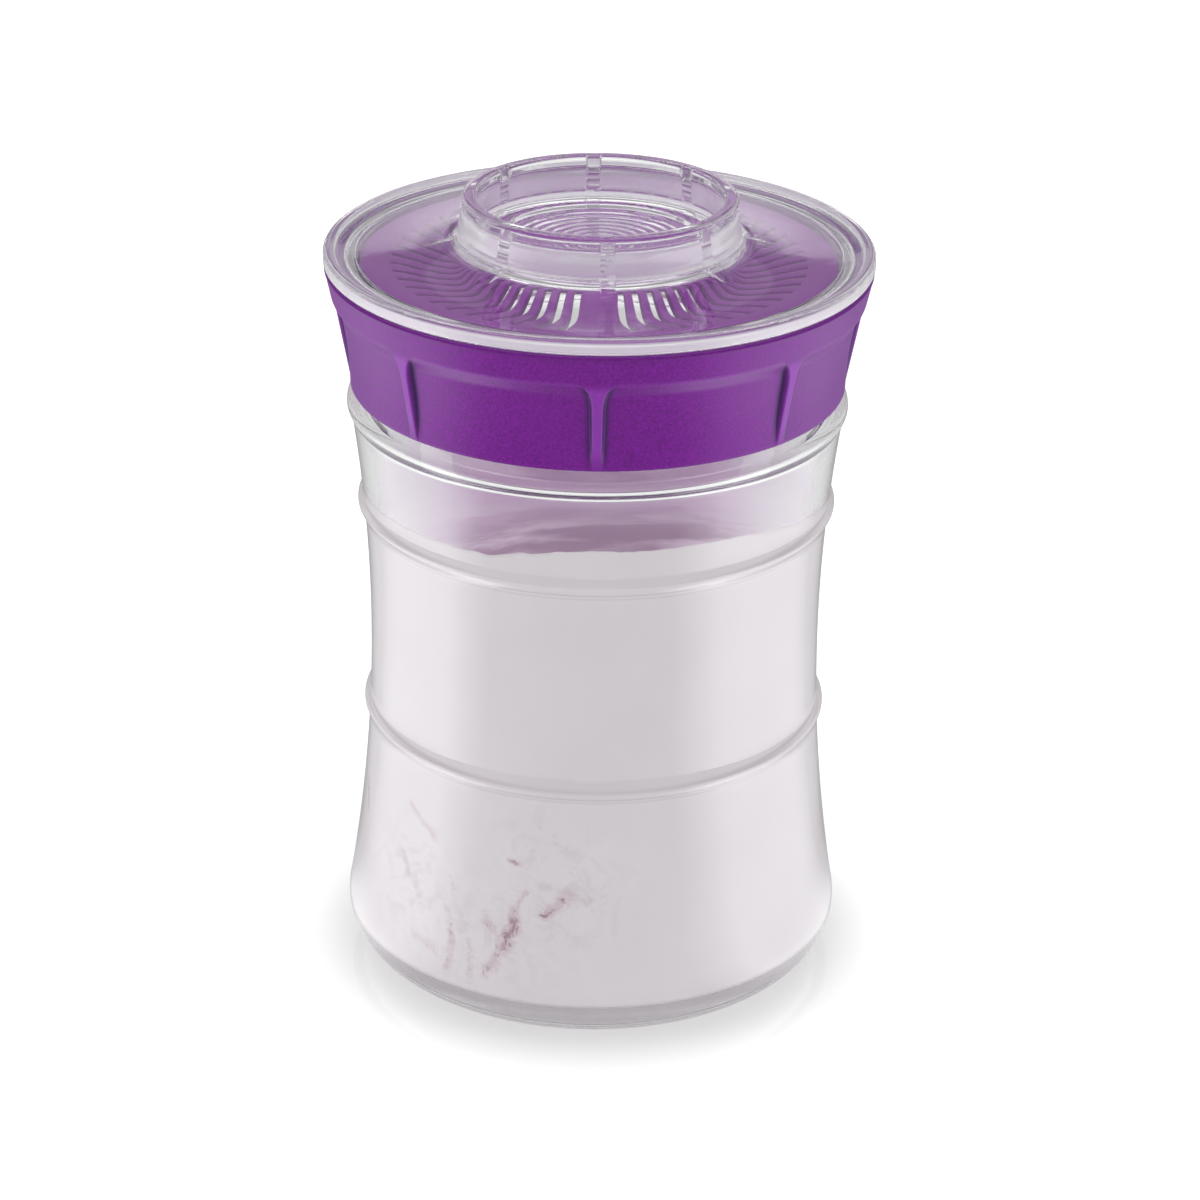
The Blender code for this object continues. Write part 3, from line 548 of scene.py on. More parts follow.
def make_kefir_white():
    """Thick cultured milk: a top painted mauve with the purple lid's light and shade, which also glows
    with it, painted shade under the hoops, and pinkish whey in its own mask.
    """
    # The top glows a little with its painted colour, a painted light
    values = {"Emission Strength": 0.15, "Subsurface Weight": 0.15, "Subsurface Scale": 1.5 * MM}
    values["Subsurface Radius"] = (1.0, 0.85, 0.9)
    made, tree, shader = new_material("kefir_white", values)
    x, y, z = parts_of(tree, place_of(tree))
    cloud = noise_of(tree, 40, 4, 0.5)
    side = blended(tree, remap(tree, cloud, 0.3, 0.7, 0, 1), *MILK)
    # Painted shade: thin darker bands on the kefir just under each hoop
    for middle in HOOP_Z:
        for drop, half, depth in HOOP_SHADES:
            away = maths(tree, "ABSOLUTE", maths(tree, "SUBTRACT", z, middle - drop), 0)
            shade = remap(tree, away, 0, half, depth, 0, smooth=True)
            side = blended(tree, shade, side, MILK_IN_SHADE)

    mask = mask_of(tree, "whey")
    curd = mask_of(tree, "curd")
    lumps = noise_of(tree, 170, 6, 0.65, 1.2)
    patches = maths(tree, "MULTIPLY", curd, remap(tree, lumps, 0.46, 0.62, 0, 0.5, smooth=True))
    side = blended(tree, patches, side, CURD)
    ragged = maths(tree, "MULTIPLY", noise_of(tree, 300, 6, 0.7, 1.2), 2.2)
    halo = maths(tree, "ADD", mask, ragged)
    side = blended(tree, remap(tree, halo, 1.42, 2.2, 0, 0.6, smooth=True), side, WHEY_HALO)
    crumbs = maths(tree, "MULTIPLY", noise_of(tree, 430, 5, 0.7, 0.8), 2.4)
    spots = maths(tree, "ADD", mask, crumbs)
    side = blended(tree, remap(tree, spots, 2.05, 2.5, 0, 0.85, smooth=True), side, WHEY_CRUMB)

    # Painted light and shade from the lid on the top, which the top also gives off as glow
    depth = remap(tree, y, -44 * MM, -12 * MM, 0, 1, smooth=True)
    painted_top = blended(tree, depth, PAINTED_TOP_FRONT, PAINTED_TOP_MIDDLE)
    painted_top = blended(tree, remap(tree, y, 14 * MM, 36 * MM, 0, 1, smooth=True), painted_top, PAINTED_TOP_BACK)
    streaks = noise_of(tree, 110, 4, 0.55, 0.4, stretch=(0.28, 1, 1))
    painted_top = blended(tree, remap(tree, streaks, 0.45, 0.62, 0, 0.65), painted_top, PAINTED_TOP_STREAK)
    wide = remap(tree, maths(tree, "ABSOLUTE", x, 0), 20 * MM, 40 * MM, 0, 0.9, smooth=True)
    painted_top = blended(tree, wide, painted_top, PAINTED_TOP_SIDE)
    top = mask_of(tree, "top")
    tree.links.new(blended(tree, top, side, painted_top), shader.inputs["Base Color"])
    tree.links.new(blended(tree, top, (0, 0, 0), painted_top), shader.inputs["Emission Color"])
    tree.links.new(remap(tree, cloud, 0.3, 0.7, 0.38, 0.5), shader.inputs["Roughness"])
    bumped(tree, shader, maths(tree, "MULTIPLY", curd, lumps), 0.5 * MM, 0.7)
    return made


# Glass jar


def body_radius(z):
    """The glass body's plain outer radius at height z."""
    flare = LOWER_FLARE_R if z < WAIST_Z else UPPER_FLARE_R
    return WAIST_R + flare - math.sqrt(flare**2 - (z - WAIST_Z) ** 2)


HEEL_TOP_Z = HEEL_R * (1 + math.sin(math.radians(HEEL_TILT)))
HEEL_CENTRE_R = body_radius(HEEL_TOP_Z) - HEEL_R * math.cos(math.radians(HEEL_TILT))
INNER_HEEL_TOP_Z = GLASS_FLOOR + INNER_HEEL_R
BEAD_R = body_radius(BODY_TOP_Z) + BEAD_OUT
NECK_R = BEAD_R - NECK_INSET
NECK_IN_R = NECK_R - NECK_WALL


def hooped_radius(z):
    """The body's outer radius at height z with its two raised hoops."""
    out = 0.0
    for middle in HOOP_Z:
        share = abs(z - middle) / HOOP_REACH
        if share < 1:
            out = HOOP_OUT * math.cos(share * math.pi / 2) ** 1.2
    return body_radius(z) + out


def body_levels():
    """Heights down the body, close together at the hoops."""
    made = []
    top = BODY_TOP_Z
    for middle in sorted(HOOP_Z, reverse=True):
        made += levels(top, middle + HOOP_REACH, PLAIN_ROW)[:-1]
        made += levels(middle + HOOP_REACH, middle - HOOP_REACH, FINE_ROW / 2)
        top = middle - HOOP_REACH
    return made + levels(top, HEEL_TOP_Z, PLAIN_ROW)[1:-1]


def inner_radius(z):
    """The body's inside radius at height z."""
    return body_radius(z) - GLASS_WALL


def jar_inside(top_z, clearance, row=PLAIN_ROW):
    """Points down the jar's inside from top_z to the edge of its floor."""
    points = [(inner_radius(z) - clearance, z) for z in levels(top_z, INNER_HEEL_TOP_Z, row)]
    centre_r = inner_radius(INNER_HEEL_TOP_Z) - INNER_HEEL_R
    return points + arc(centre_r, INNER_HEEL_TOP_Z, INNER_HEEL_R - clearance, 0, -90, 14)[1:]


def make_glass_jar(coat):
    """The glass: threaded neck, shoulder bead, hooped body, round heel and raised base."""
    fillet_z = BODY_TOP_Z + BEAD_H + NECK_FOOT_RISE + NECK_FILLET
    outer = arc(NECK_R - MOUTH_EASE, MOUTH_Z - MOUTH_EASE, MOUTH_EASE, 90, 0, 6)
    outer += [(NECK_R, z) for z in levels(MOUTH_Z - MOUTH_EASE, fillet_z, FINE_ROW)[1:-1]]
    outer += arc(NECK_R + NECK_FILLET, fillet_z, NECK_FILLET, 180, 270, 8)
    outer += arc(BEAD_R - BEAD_ROUND, BODY_TOP_Z + BEAD_RISE, BEAD_ROUND, 62, -52, 16)
    outer += [(hooped_radius(z), z) for z in body_levels()]
    outer += arc(HEEL_CENTRE_R, HEEL_R, HEEL_R, HEEL_TILT, -90, 22)
    foot_in_r = HEEL_CENTRE_R - FOOT_W
    outer += arc(foot_in_r, FOOT_EASE, FOOT_EASE, -90, -150, 4)
    outer += slope(*outer[-1], -PUNT_SLOPE_W, PUNT_H - outer[-1][1], 8)
    outer += [(outer[-1][0] / 2, PUNT_H), (0, PUNT_H)]

    inner = jar_inside(BODY_TOP_Z, 0)
    inner.reverse()
    shoulder_r = inner_radius(BODY_TOP_Z)
    for step in range(1, 13):
        share = step / 12
        r = shoulder_r - (shoulder_r - NECK_IN_R) * eased(share)
        inner.append((r, BODY_TOP_Z + NECK_BEND_H * share))
    inner += arc(NECK_IN_R + MOUTH_EASE, MOUTH_Z - MOUTH_EASE, MOUTH_EASE, 180, 90, 6)
    bm = spun(outer + [(0, GLASS_FLOOR), (inner[0][0] / 2, GLASS_FLOOR)] + inner, JAR_COLUMNS)
    for vert in bm.verts:
        radius, angle, z = polar(vert.co)
        if abs(radius - NECK_R) < 0.01 * MM and z > fillet_z:
            low_z = MOUTH_Z - JAR_THREAD_DROP
            lift = thread_lift(angle, z, JAR_THREAD, 0, JAR_THREAD_SWEEP, low_z)
            vert.co = around(radius + JAR_THREAD_OUT * lift, angle, z)
    return piece("jar_glass", bm, "jar", "glass_jar", coat)


# Kefir


# How far under its top level the kefir stands at the glass, by degrees round from the front
KEFIR_EDGE = (
    (-180, 1.0), (-120, 2.6), (-70, 4.3), (-48, 3.9), (-28, 3.8), (-17, 2.0), (-8, 0.9),
    (-2, 0.5), (22, 0.4), (34, 0.5), (46, 1.6), (60, 3.3), (75, 4.4), (120, 2.6), (180, 1.0),
)


def kefir_edge(angle):
    """How far the kefir's edge on the glass lies from its top level: below 0 is lower."""
    degrees = math.degrees(angle)
    for (a0, d0), (a1, d1) in zip(KEFIR_EDGE, KEFIR_EDGE[1:]):
        if a0 <= degrees <= a1:
            drop = d0 + (d1 - d0) * eased((degrees - a0) / (a1 - a0))
            break
    ragged = noise.noise(Vector((math.sin(angle) * 7, math.cos(angle) * 7, 0.3))) * 0.35
    fine = noise.noise(Vector((math.sin(angle) * 25, math.cos(angle) * 25, 2.1))) * 0.22
    return (ragged + fine - drop) * MM


def whey_strokes():
    """The whey streaks on the kefir's front left: ends (degrees, mm up), width, strength."""
    return [
        ((-16.5, 33.5), (-18.8, 29.0), 0.6, 1.0),
        ((-18.8, 29.0), (-19.2, 25.0), 1.2, 1.1),
        ((-19.2, 25.0), (-21.5, 20.5), 1.5, 1.1),
        ((-21.5, 20.5), (-25.7, 13.5), 1.1, 0.95),
        ((-11.6, 29.0), (-6.9, 32.6), 1.1, 1.0),
        ((-7.5, 34.7), (-0.9, 33.0), 0.9, 0.75),
        ((-20.6, 40.2), (-18.0, 39.6), 0.6, 1.0),
        ((-9.7, 45.8), (-6.6, 44.6), 0.8, 0.55),
        ((-26.3, 26.4), (-25.2, 24.6), 1.1, 0.95),
        ((-37.5, 25.0), (-35.1, 17.5), 0.9, 0.8),
        ((-35.1, 17.5), (-35.8, 12.5), 1.0, 0.75),
        ((-30.5, 19.0), (-29.0, 12.5), 1.2, 0.65),
        ((-54.9, 33.1), (-47.1, 25.5), 0.9, 0.75),
        ((-53.2, 45.3), (-43.0, 40.0), 0.8, 0.8),
        ((-80.0, 40.0), (-77.6, 34.0), 0.8, 0.9),
        ((-46.9, 16.2), (-39.4, 15.3), 1.2, 0.65),
        ((-37.4, 32.4), (-36.0, 30.8), 0.8, 0.6),
    ]


def whey_at(strokes, angle, z):
    """How strongly whey shows at a place on the kefir's side."""
    best = 0.0
    here = Vector((angle * WAIST_R, z))
    for (a0, z0), (a1, z1), width, depth in strokes:
        start = Vector((math.radians(a0) * WAIST_R, z0 * MM))
        end = Vector((math.radians(a1) * WAIST_R, z1 * MM))
        along = end - start
        share = max(0.0, min(1.0, (here - start).dot(along) / along.length_squared))
        away = (here - start - along * share).length
        best = max(best, depth * bell(away, width * 1.6 * MM))
    return best


def curd_at(angle, z):
    """How lumpy the kefir lies against the glass: most on the lower left of the front."""
    best = 0.0
    for degrees, height, reach in ((-8, 33, 13), (-26, 22, 13), (-50, 28, 14), (-12, 44, 9)):
        away = math.hypot((angle - math.radians(degrees)) * WAIST_R, z - height * MM)
        best = max(best, bell(away, reach * MM))
    return best


def make_kefir(coat):
    """The kefir, which wets the glass, with an uneven top and a ragged edge."""
    side = jar_inside(KEFIR_TOP_Z, -KEFIR_WETS, KEFIR_ROW)
    edge_r = side[0][0]
    lid = [(r, KEFIR_TOP_Z) for r in levels(0, edge_r - 0.7 * MM, 1.5 * MM)]
    lid += [(edge_r - 0.35 * MM, KEFIR_TOP_Z), (edge_r - 0.12 * MM, KEFIR_TOP_Z)]
    bottom_z = GLASS_FLOOR - KEFIR_WETS
    bm = spun(lid + side + [(side[-1][0] / 2, bottom_z), (0, bottom_z)], KEFIR_COLUMNS, closed=False)
    top = bm.verts.layers.float.new("top")
    whey = bm.verts.layers.float.new("whey")
    curd = bm.verts.layers.float.new("curd")
    strokes = whey_strokes()
    for vert in bm.verts:
        radius, angle, z = polar(vert.co)
        on_top = abs(z - KEFIR_TOP_Z) < 0.001 * MM
        drop = kefir_edge(angle)
        if on_top:
            share = radius / edge_r
            lumps = noise.fractal(Vector(vert.co) * 55, 1.0, 2.0, 3) * KEFIR_LUMPS * (1 - share**4)
            z += lumps - KEFIR_SAG * (1 - share) + drop * share**3
            vert[top] = 1.0 if radius < edge_r - 0.05 * MM else 0.0
        elif z > KEFIR_TOP_Z - KEFIR_EDGE_H and radius > edge_r / 2:
            z += drop * eased((z - KEFIR_TOP_Z + KEFIR_EDGE_H) / KEFIR_EDGE_H)
        if radius > edge_r - 0.001 * MM or not on_top and z > INNER_HEEL_TOP_Z:
            radius = inner_radius(z) + KEFIR_WETS
        if z < WAIST_Z and radius > edge_r / 2 and -1.7 < angle < 0.3:
            vert[whey] = whey_at(strokes, angle, z)
            vert[curd] = curd_at(angle, z)
        vert.co = around(radius, angle, z)
    return piece("kefir", bm, "jar", "kefir_fill", coat)


# Seals


def make_seal(name, body, node, low, high, width, coat):
    """A soft ring with rounded edges in the place of its CAD node."""
    out_r = high.x
    ease = (high.z - low.z) * SEAL_EASE
    in_r = out_r - width
    profile = arc(out_r - ease, high.z - ease, ease, 90, 0, 4)
    profile += arc(out_r - ease, low.z + ease, ease, 0, -90, 4)
    profile += arc(in_r + ease, low.z + ease, ease, -90, -180, 4)
    profile += arc(in_r + ease, high.z - ease, ease, 180, 90, 4)
    return piece(name, spun(profile, RING_COLUMNS), body, node, coat)


# Lid ring


SHELF_Z = LID_TOP_Z - SOCKET_H - SHELF_T
SHELF_TOP_Z = SHELF_Z + SHELF_T
LID_BORE_R = NECK_R + JAR_THREAD_OUT + LID_BORE_SLACK
SOCKET_R = LID_BORE_R + SOCKET_STEP
LID_TOP_R = SOCKET_R + SOCKET_WALL
LID_FOOT_R = LID_BORE_R + LID_FOOT_WALL
LEDGE_TOP_Z = LID_TOP_Z - BAND_H
LEDGE_FOOT_Z = LEDGE_TOP_Z - LEDGE_H
SKIRT_Z = SEAL_HIGH.z + 0.3 * MM
SKIRT_R = SOCKET_R - SKIRT_SLACK
SKIRT_IN_R = SKIRT_R - SKIRT_T
CREST_STEPS = 3
SIDE_STEPS = 6
REST_STEPS = 8


def rib_line(z):
    """Radius of the band and of the grip ribs' crests at height z."""
    band_foot_r = LID_TOP_R - BAND_TAPER
    if z >= LEDGE_TOP_Z:
        return LID_TOP_R - BAND_TAPER * (LID_TOP_Z - z) / BAND_H
    share = (LEDGE_TOP_Z - z) / (LEDGE_TOP_Z - LID_BOTTOM_Z)
    return band_foot_r + (LID_FOOT_R - band_foot_r) * share


def panel_line(z):
    """Radius of the grip panels between the ribs at height z."""
    if z >= LEDGE_TOP_Z:
        return rib_line(z)
    foot_r = rib_line(LEDGE_FOOT_Z) - LEDGE_IN
    if z >= LEDGE_FOOT_Z:
        return rib_line(LEDGE_TOP_Z) + (foot_r - rib_line(LEDGE_TOP_Z)) * (LEDGE_TOP_Z - z) / LEDGE_H
    share = (LEDGE_FOOT_Z - z) / (LEDGE_FOOT_Z - LID_BOTTOM_Z)
    hollow = PANEL_HOLLOW * math.sin(math.pi * share)
    return foot_r + (LID_FOOT_R - PANEL_IN - foot_r) * share - hollow


def rib_half_width(z):
    """Half the width of a grip rib's crest at height z, with the fillets at its top."""
    share = max(0, min(1, (z - LID_BOTTOM_Z) / (LEDGE_FOOT_Z - LID_BOTTOM_Z)))
    plain = (RIB_FOOT_W + (RIB_TOP_W - RIB_FOOT_W) * share) / 2
    into = max(0, min(1, (z - LEDGE_TOP_Z) / RIB_FILLET_H + 1))
    return plain + RIB_FILLET_W * (1 - math.sqrt(1 - into**2))


def crowded(angle, sector, half, side, radius):
    """Moves an evenly spaced column so that the columns crowd at a rib's sides; gives its angle and its
    distance past the rib's crest."""
    steps_per_half = CREST_STEPS + SIDE_STEPS + REST_STEPS
    middle = round(angle / sector) * sector
    steps = abs(angle - middle) / (sector / 2 / steps_per_half)
    if steps <= CREST_STEPS:
        away = half * steps / CREST_STEPS
    elif steps <= CREST_STEPS + SIDE_STEPS:
        away = half + side * (steps - CREST_STEPS) / SIDE_STEPS
    else:
        share = (steps - CREST_STEPS - SIDE_STEPS) / REST_STEPS
        away = half + side + (sector / 2 * radius - half - side) * share**1.4
    return middle + math.copysign(away / radius, angle - middle), away - half


def make_lid_ring(coat):
    """The purple ring: band, ledge, eight grip ribs, socket, shelf and threaded bore."""
    ease = LID_EASE
    outer = arc(LID_TOP_R - ease, LID_TOP_Z - ease, ease, 90, 0, 5)
    outer += [(rib_line(z), z) for z in levels(LID_TOP_Z - ease, LID_BOTTOM_Z + ease, FINE_ROW)[1:]]
    foot_r = rib_line(LID_BOTTOM_Z) - ease
    outer += arc(foot_r, LID_BOTTOM_Z + ease, ease, 0, -90, 4)[1:]
    shelf_r = NECK_R - SHELF_OVERHANG
    inner = [(LID_BORE_R + ease, LID_BOTTOM_Z)]
    inner += [(LID_BORE_R, z) for z in levels(LID_BOTTOM_Z + ease, SHELF_Z, FINE_ROW)]
    inner += [(r, SHELF_Z) for r in levels(LID_BORE_R, shelf_r, PLAIN_ROW)[1:]]
    inner += [(r, SHELF_TOP_Z) for r in levels(shelf_r, SOCKET_R, PLAIN_ROW)]
    inner += [(SOCKET_R, z) for z in levels(SHELF_TOP_Z, LID_TOP_Z - ease, FINE_ROW)[1:]]
    inner += arc(SOCKET_R + ease, LID_TOP_Z - ease, ease, 180, 90, 5)[1:]
    sector = math.tau / GRIP_RIBS
    bm = spun(outer + inner, GRIP_RIBS * 2 * (CREST_STEPS + SIDE_STEPS + REST_STEPS))
    rib_highlight = bm.verts.layers.float.new("rib_highlight")
    rib_shade = bm.verts.layers.float.new("rib_shade")
    for vert in bm.verts:
        radius, angle, z = polar(vert.co)
        half = rib_half_width(z)
        place, past = crowded(angle, sector, half, RIB_SIDE_W, rib_line(z))
        if radius > rib_line(z) - 0.6 * MM and z < LID_TOP_Z - ease:
            rib = 1 - eased(past / RIB_SIDE_W)
            crest = softened(rib_line, z, 0.25 * MM)
            panel = min(crest, softened(panel_line, z, 0.45 * MM))
            radius += (panel + (crest - panel) * rib) - rib_line(z)
            depth = min(1, (crest - panel) / (0.8 * MM))
            plain = 1 - rib
            # Painted highlights on the ribs' borders and crests and along the ledge's top, and painted
            # shade in the nooks beside the ribs
            ledge_highlight = LEDGE_HIGHLIGHT * plain * bell(z - LEDGE_TOP_Z, 0.35 * MM)
            crest_highlight = CREST_HIGHLIGHT * depth if past <= 0 else 0
            side_highlight = BORDER_HIGHLIGHT * depth * bell(past, 0.28 * MM)
            vert[rib_highlight] = max(side_highlight, ledge_highlight, crest_highlight)
            vert[rib_shade] = depth * bell(past - RIB_SIDE_W * 0.9, 0.6 * MM)
        elif abs(radius - LID_BORE_R) < 0.01 * MM:
            low_z = MOUTH_Z - JAR_THREAD_DROP - LID_THREAD_UNDER - JAR_LEAD * LID_THREAD_LAG / math.tau
            lift = thread_lift(place, z, JAR_THREAD, -LID_THREAD_LAG, LID_THREAD_SWEEP, low_z)
            radius -= (LID_BORE_R - NECK_R - THREAD_GAP) * lift
        elif abs(radius - SOCKET_R) < 0.01 * MM:
            low_z = SKIRT_Z + SOCKET_THREAD_RISE
            lift = thread_lift(place, z, COVER_THREAD, 0, COVER_THREAD_SWEEP, low_z)
            radius -= (SKIRT_SLACK - SOCKET_THREAD_GAP) * lift
        vert.co = around(radius, place, z)
    return piece("lid_ring_satin", bm, "lid", "lid_ring", coat)


# Strainer


HUB_Z = STRAINER_HIGH.z
FLANGE_Z = STRAINER_LOW.z
STRAINER_R = SKIRT_IN_R - SKIRT_TO_STRAINER
COVER_RIM_Z = LID_TOP_Z + 0.3 * MM
COVER_RIM_R = COVER_HIGH.x
COVER_RIM_TOP_Z = COVER_RIM_Z + COVER_RIM_H
DISH_R = COVER_RIM_R - COVER_RIM_W
DISH_Z = COVER_RIM_TOP_Z - DISH_DROP
STRAINER_RIM_Z = DISH_Z - DISH_T - 2.0 * MM
TROUGH_Z = STRAINER_RIM_Z - TROUGH_DEPTH
TROUGH_OUT_R = STRAINER_R - STRAINER_RIM_W


def strainer_line(r):
    """Height of the strainer's upper face at radius r."""
    if r <= TROUGH_IN_R:
        share = (r - HUB_R) / (TROUGH_IN_R - HUB_R)
        return HUB_Z + (TROUGH_Z - HUB_Z) * eased(share)
    share = (r - TROUGH_IN_R) / (TROUGH_OUT_R - TROUGH_IN_R)
    return TROUGH_Z + (STRAINER_RIM_Z - TROUGH_Z) * eased(share)


def slot_columns():
    """Angles of the columns: each slot has one on either edge, each bar one in its middle."""
    columns = []
    for side in (0, 1):
        for index in range(SLOTS_PER_SIDE):
            middle = math.pi * side + SLOT_SPOKE + SLOT_PITCH * index
            columns += [(middle, -1), (middle, 1)]
            if index < SLOTS_PER_SIDE - 1:
                columns.append((middle + SLOT_PITCH / 2, 0))
        spoke_parts = 8
        first = math.pi * side + SLOT_SPOKE + SLOT_PITCH * (SLOTS_PER_SIDE - 1) + SLOT_PITCH / 2
        spoke_w = 2 * SLOT_SPOKE - SLOT_PITCH
        columns += [(first + spoke_w * part / spoke_parts, 0) for part in range(spoke_parts + 1)]
    return columns


def make_strainer(coat):
    """The slotted plate: flat hub, cone down to a crease, trough up to the rim, wall and flange."""
    columns = slot_columns()
    slot_in_r = HUB_R - SLOT_START_IN
    slot_out_r = TROUGH_OUT_R - SLOT_END_IN
    radii = levels(2 * MM, slot_in_r, 3 * MM) + levels(slot_in_r, slot_out_r, SLOT_ROW)[1:]
    radii += levels(slot_out_r, TROUGH_OUT_R, SLOT_ROW)[1:]
    profile = [(0, HUB_Z)] + [(r, strainer_line(r)) for r in radii]
    profile += arc(STRAINER_R - STRAINER_EDGE, STRAINER_RIM_Z - STRAINER_EDGE, STRAINER_EDGE, 90, 0, 4)
    profile += [(STRAINER_R, FLANGE_Z + FLANGE_T), (SKIRT_R - FLANGE_SLACK, FLANGE_Z + FLANGE_T)]
    bm = spun(profile, len(columns), closed=False)
    step = math.tau / len(columns)
    half = SLOT_W / 2
    for vert in bm.verts:
        radius, angle, z = polar(vert.co)
        middle, side = columns[round(angle / step) % len(columns)]
        spread = half / max(radius, slot_in_r)
        vert.co = around(radius, middle + side * spread, z)
    doomed = []
    for face in bm.faces:
        radius, angle, z = polar(face.calc_center_median())
        if slot_in_r < radius < slot_out_r and in_slot(angle, radius):
            doomed.append(face)
    bmesh.ops.delete(bm, geom=doomed, context="FACES")
    obj = piece("strainer_gloss", bm, "lid", "strainer", coat)
    solid = obj.modifiers.new("wall", "SOLIDIFY")
    solid.thickness = STRAINER_T
    solid.offset = -1
    solid.use_even_offset = True
    bevel = obj.modifiers.new("soft edges", "BEVEL")
    bevel.width = 0.15 * MM
    bevel.segments = 2
    bevel.limit_method = "ANGLE"
    bevel.angle_limit = math.radians(50)
    return obj


def in_slot(angle, radius):
    """True if a place on the strainer lies in one of its slots."""
    angle = angle % math.pi
    index = round((angle - SLOT_SPOKE) / SLOT_PITCH)
    if not 0 <= index < SLOTS_PER_SIDE:
        return False
    return abs(angle - SLOT_SPOKE - SLOT_PITCH * index) * radius < SLOT_W / 2


# Clear cover


CUP_TOP_Z = COVER_HIGH.z
CUP_IN_R = CUP_R - CUP_WALL
CUP_FOOT_R = CUP_R + CUP_FOOT_OUT
CUP_FOOT_Z = DISH_Z + DISH_RISE + CUP_FOOT_RISE
CUP_FLOOR_Z = DISH_Z + DISH_RISE - CUP_FLOOR_DROP


def dish_line(r):
    """Height of the cover's upper face between its rim and its cup."""
    return DISH_Z + DISH_RISE * ((DISH_R - r) / (DISH_R - CUP_FOOT_R)) ** 3


def cup_wall_radius(z):
    """The cup's plain outer radius at height z, without its recessed panels."""
    return CUP_R + CUP_TAPER * ((CUP_TOP_Z - z) / (CUP_TOP_Z - CUP_FOOT_Z)) ** 2


def row_key(r, z):
    """A place on the profile, rounded so that it can be found again on the turned shape."""
    return round(r * 1e7), round(z * 1e7)


def fin_crest(share):
    """The crest of a fin, from the cup's lip at 0 to its toe on the dish at 1."""
    toe_r = CUP_FOOT_R + FIN_OUT
    lip_z = CUP_TOP_Z - CUP_LIP_H / 2
    drop = lip_z - dish_line(toe_r) - FIN_TOE_H
    r = CUP_R + FIN_PROUD + (toe_r - CUP_R - FIN_PROUD) * share**2.6
    return r, lip_z - drop * (1 - (1 - share) ** 1.6)


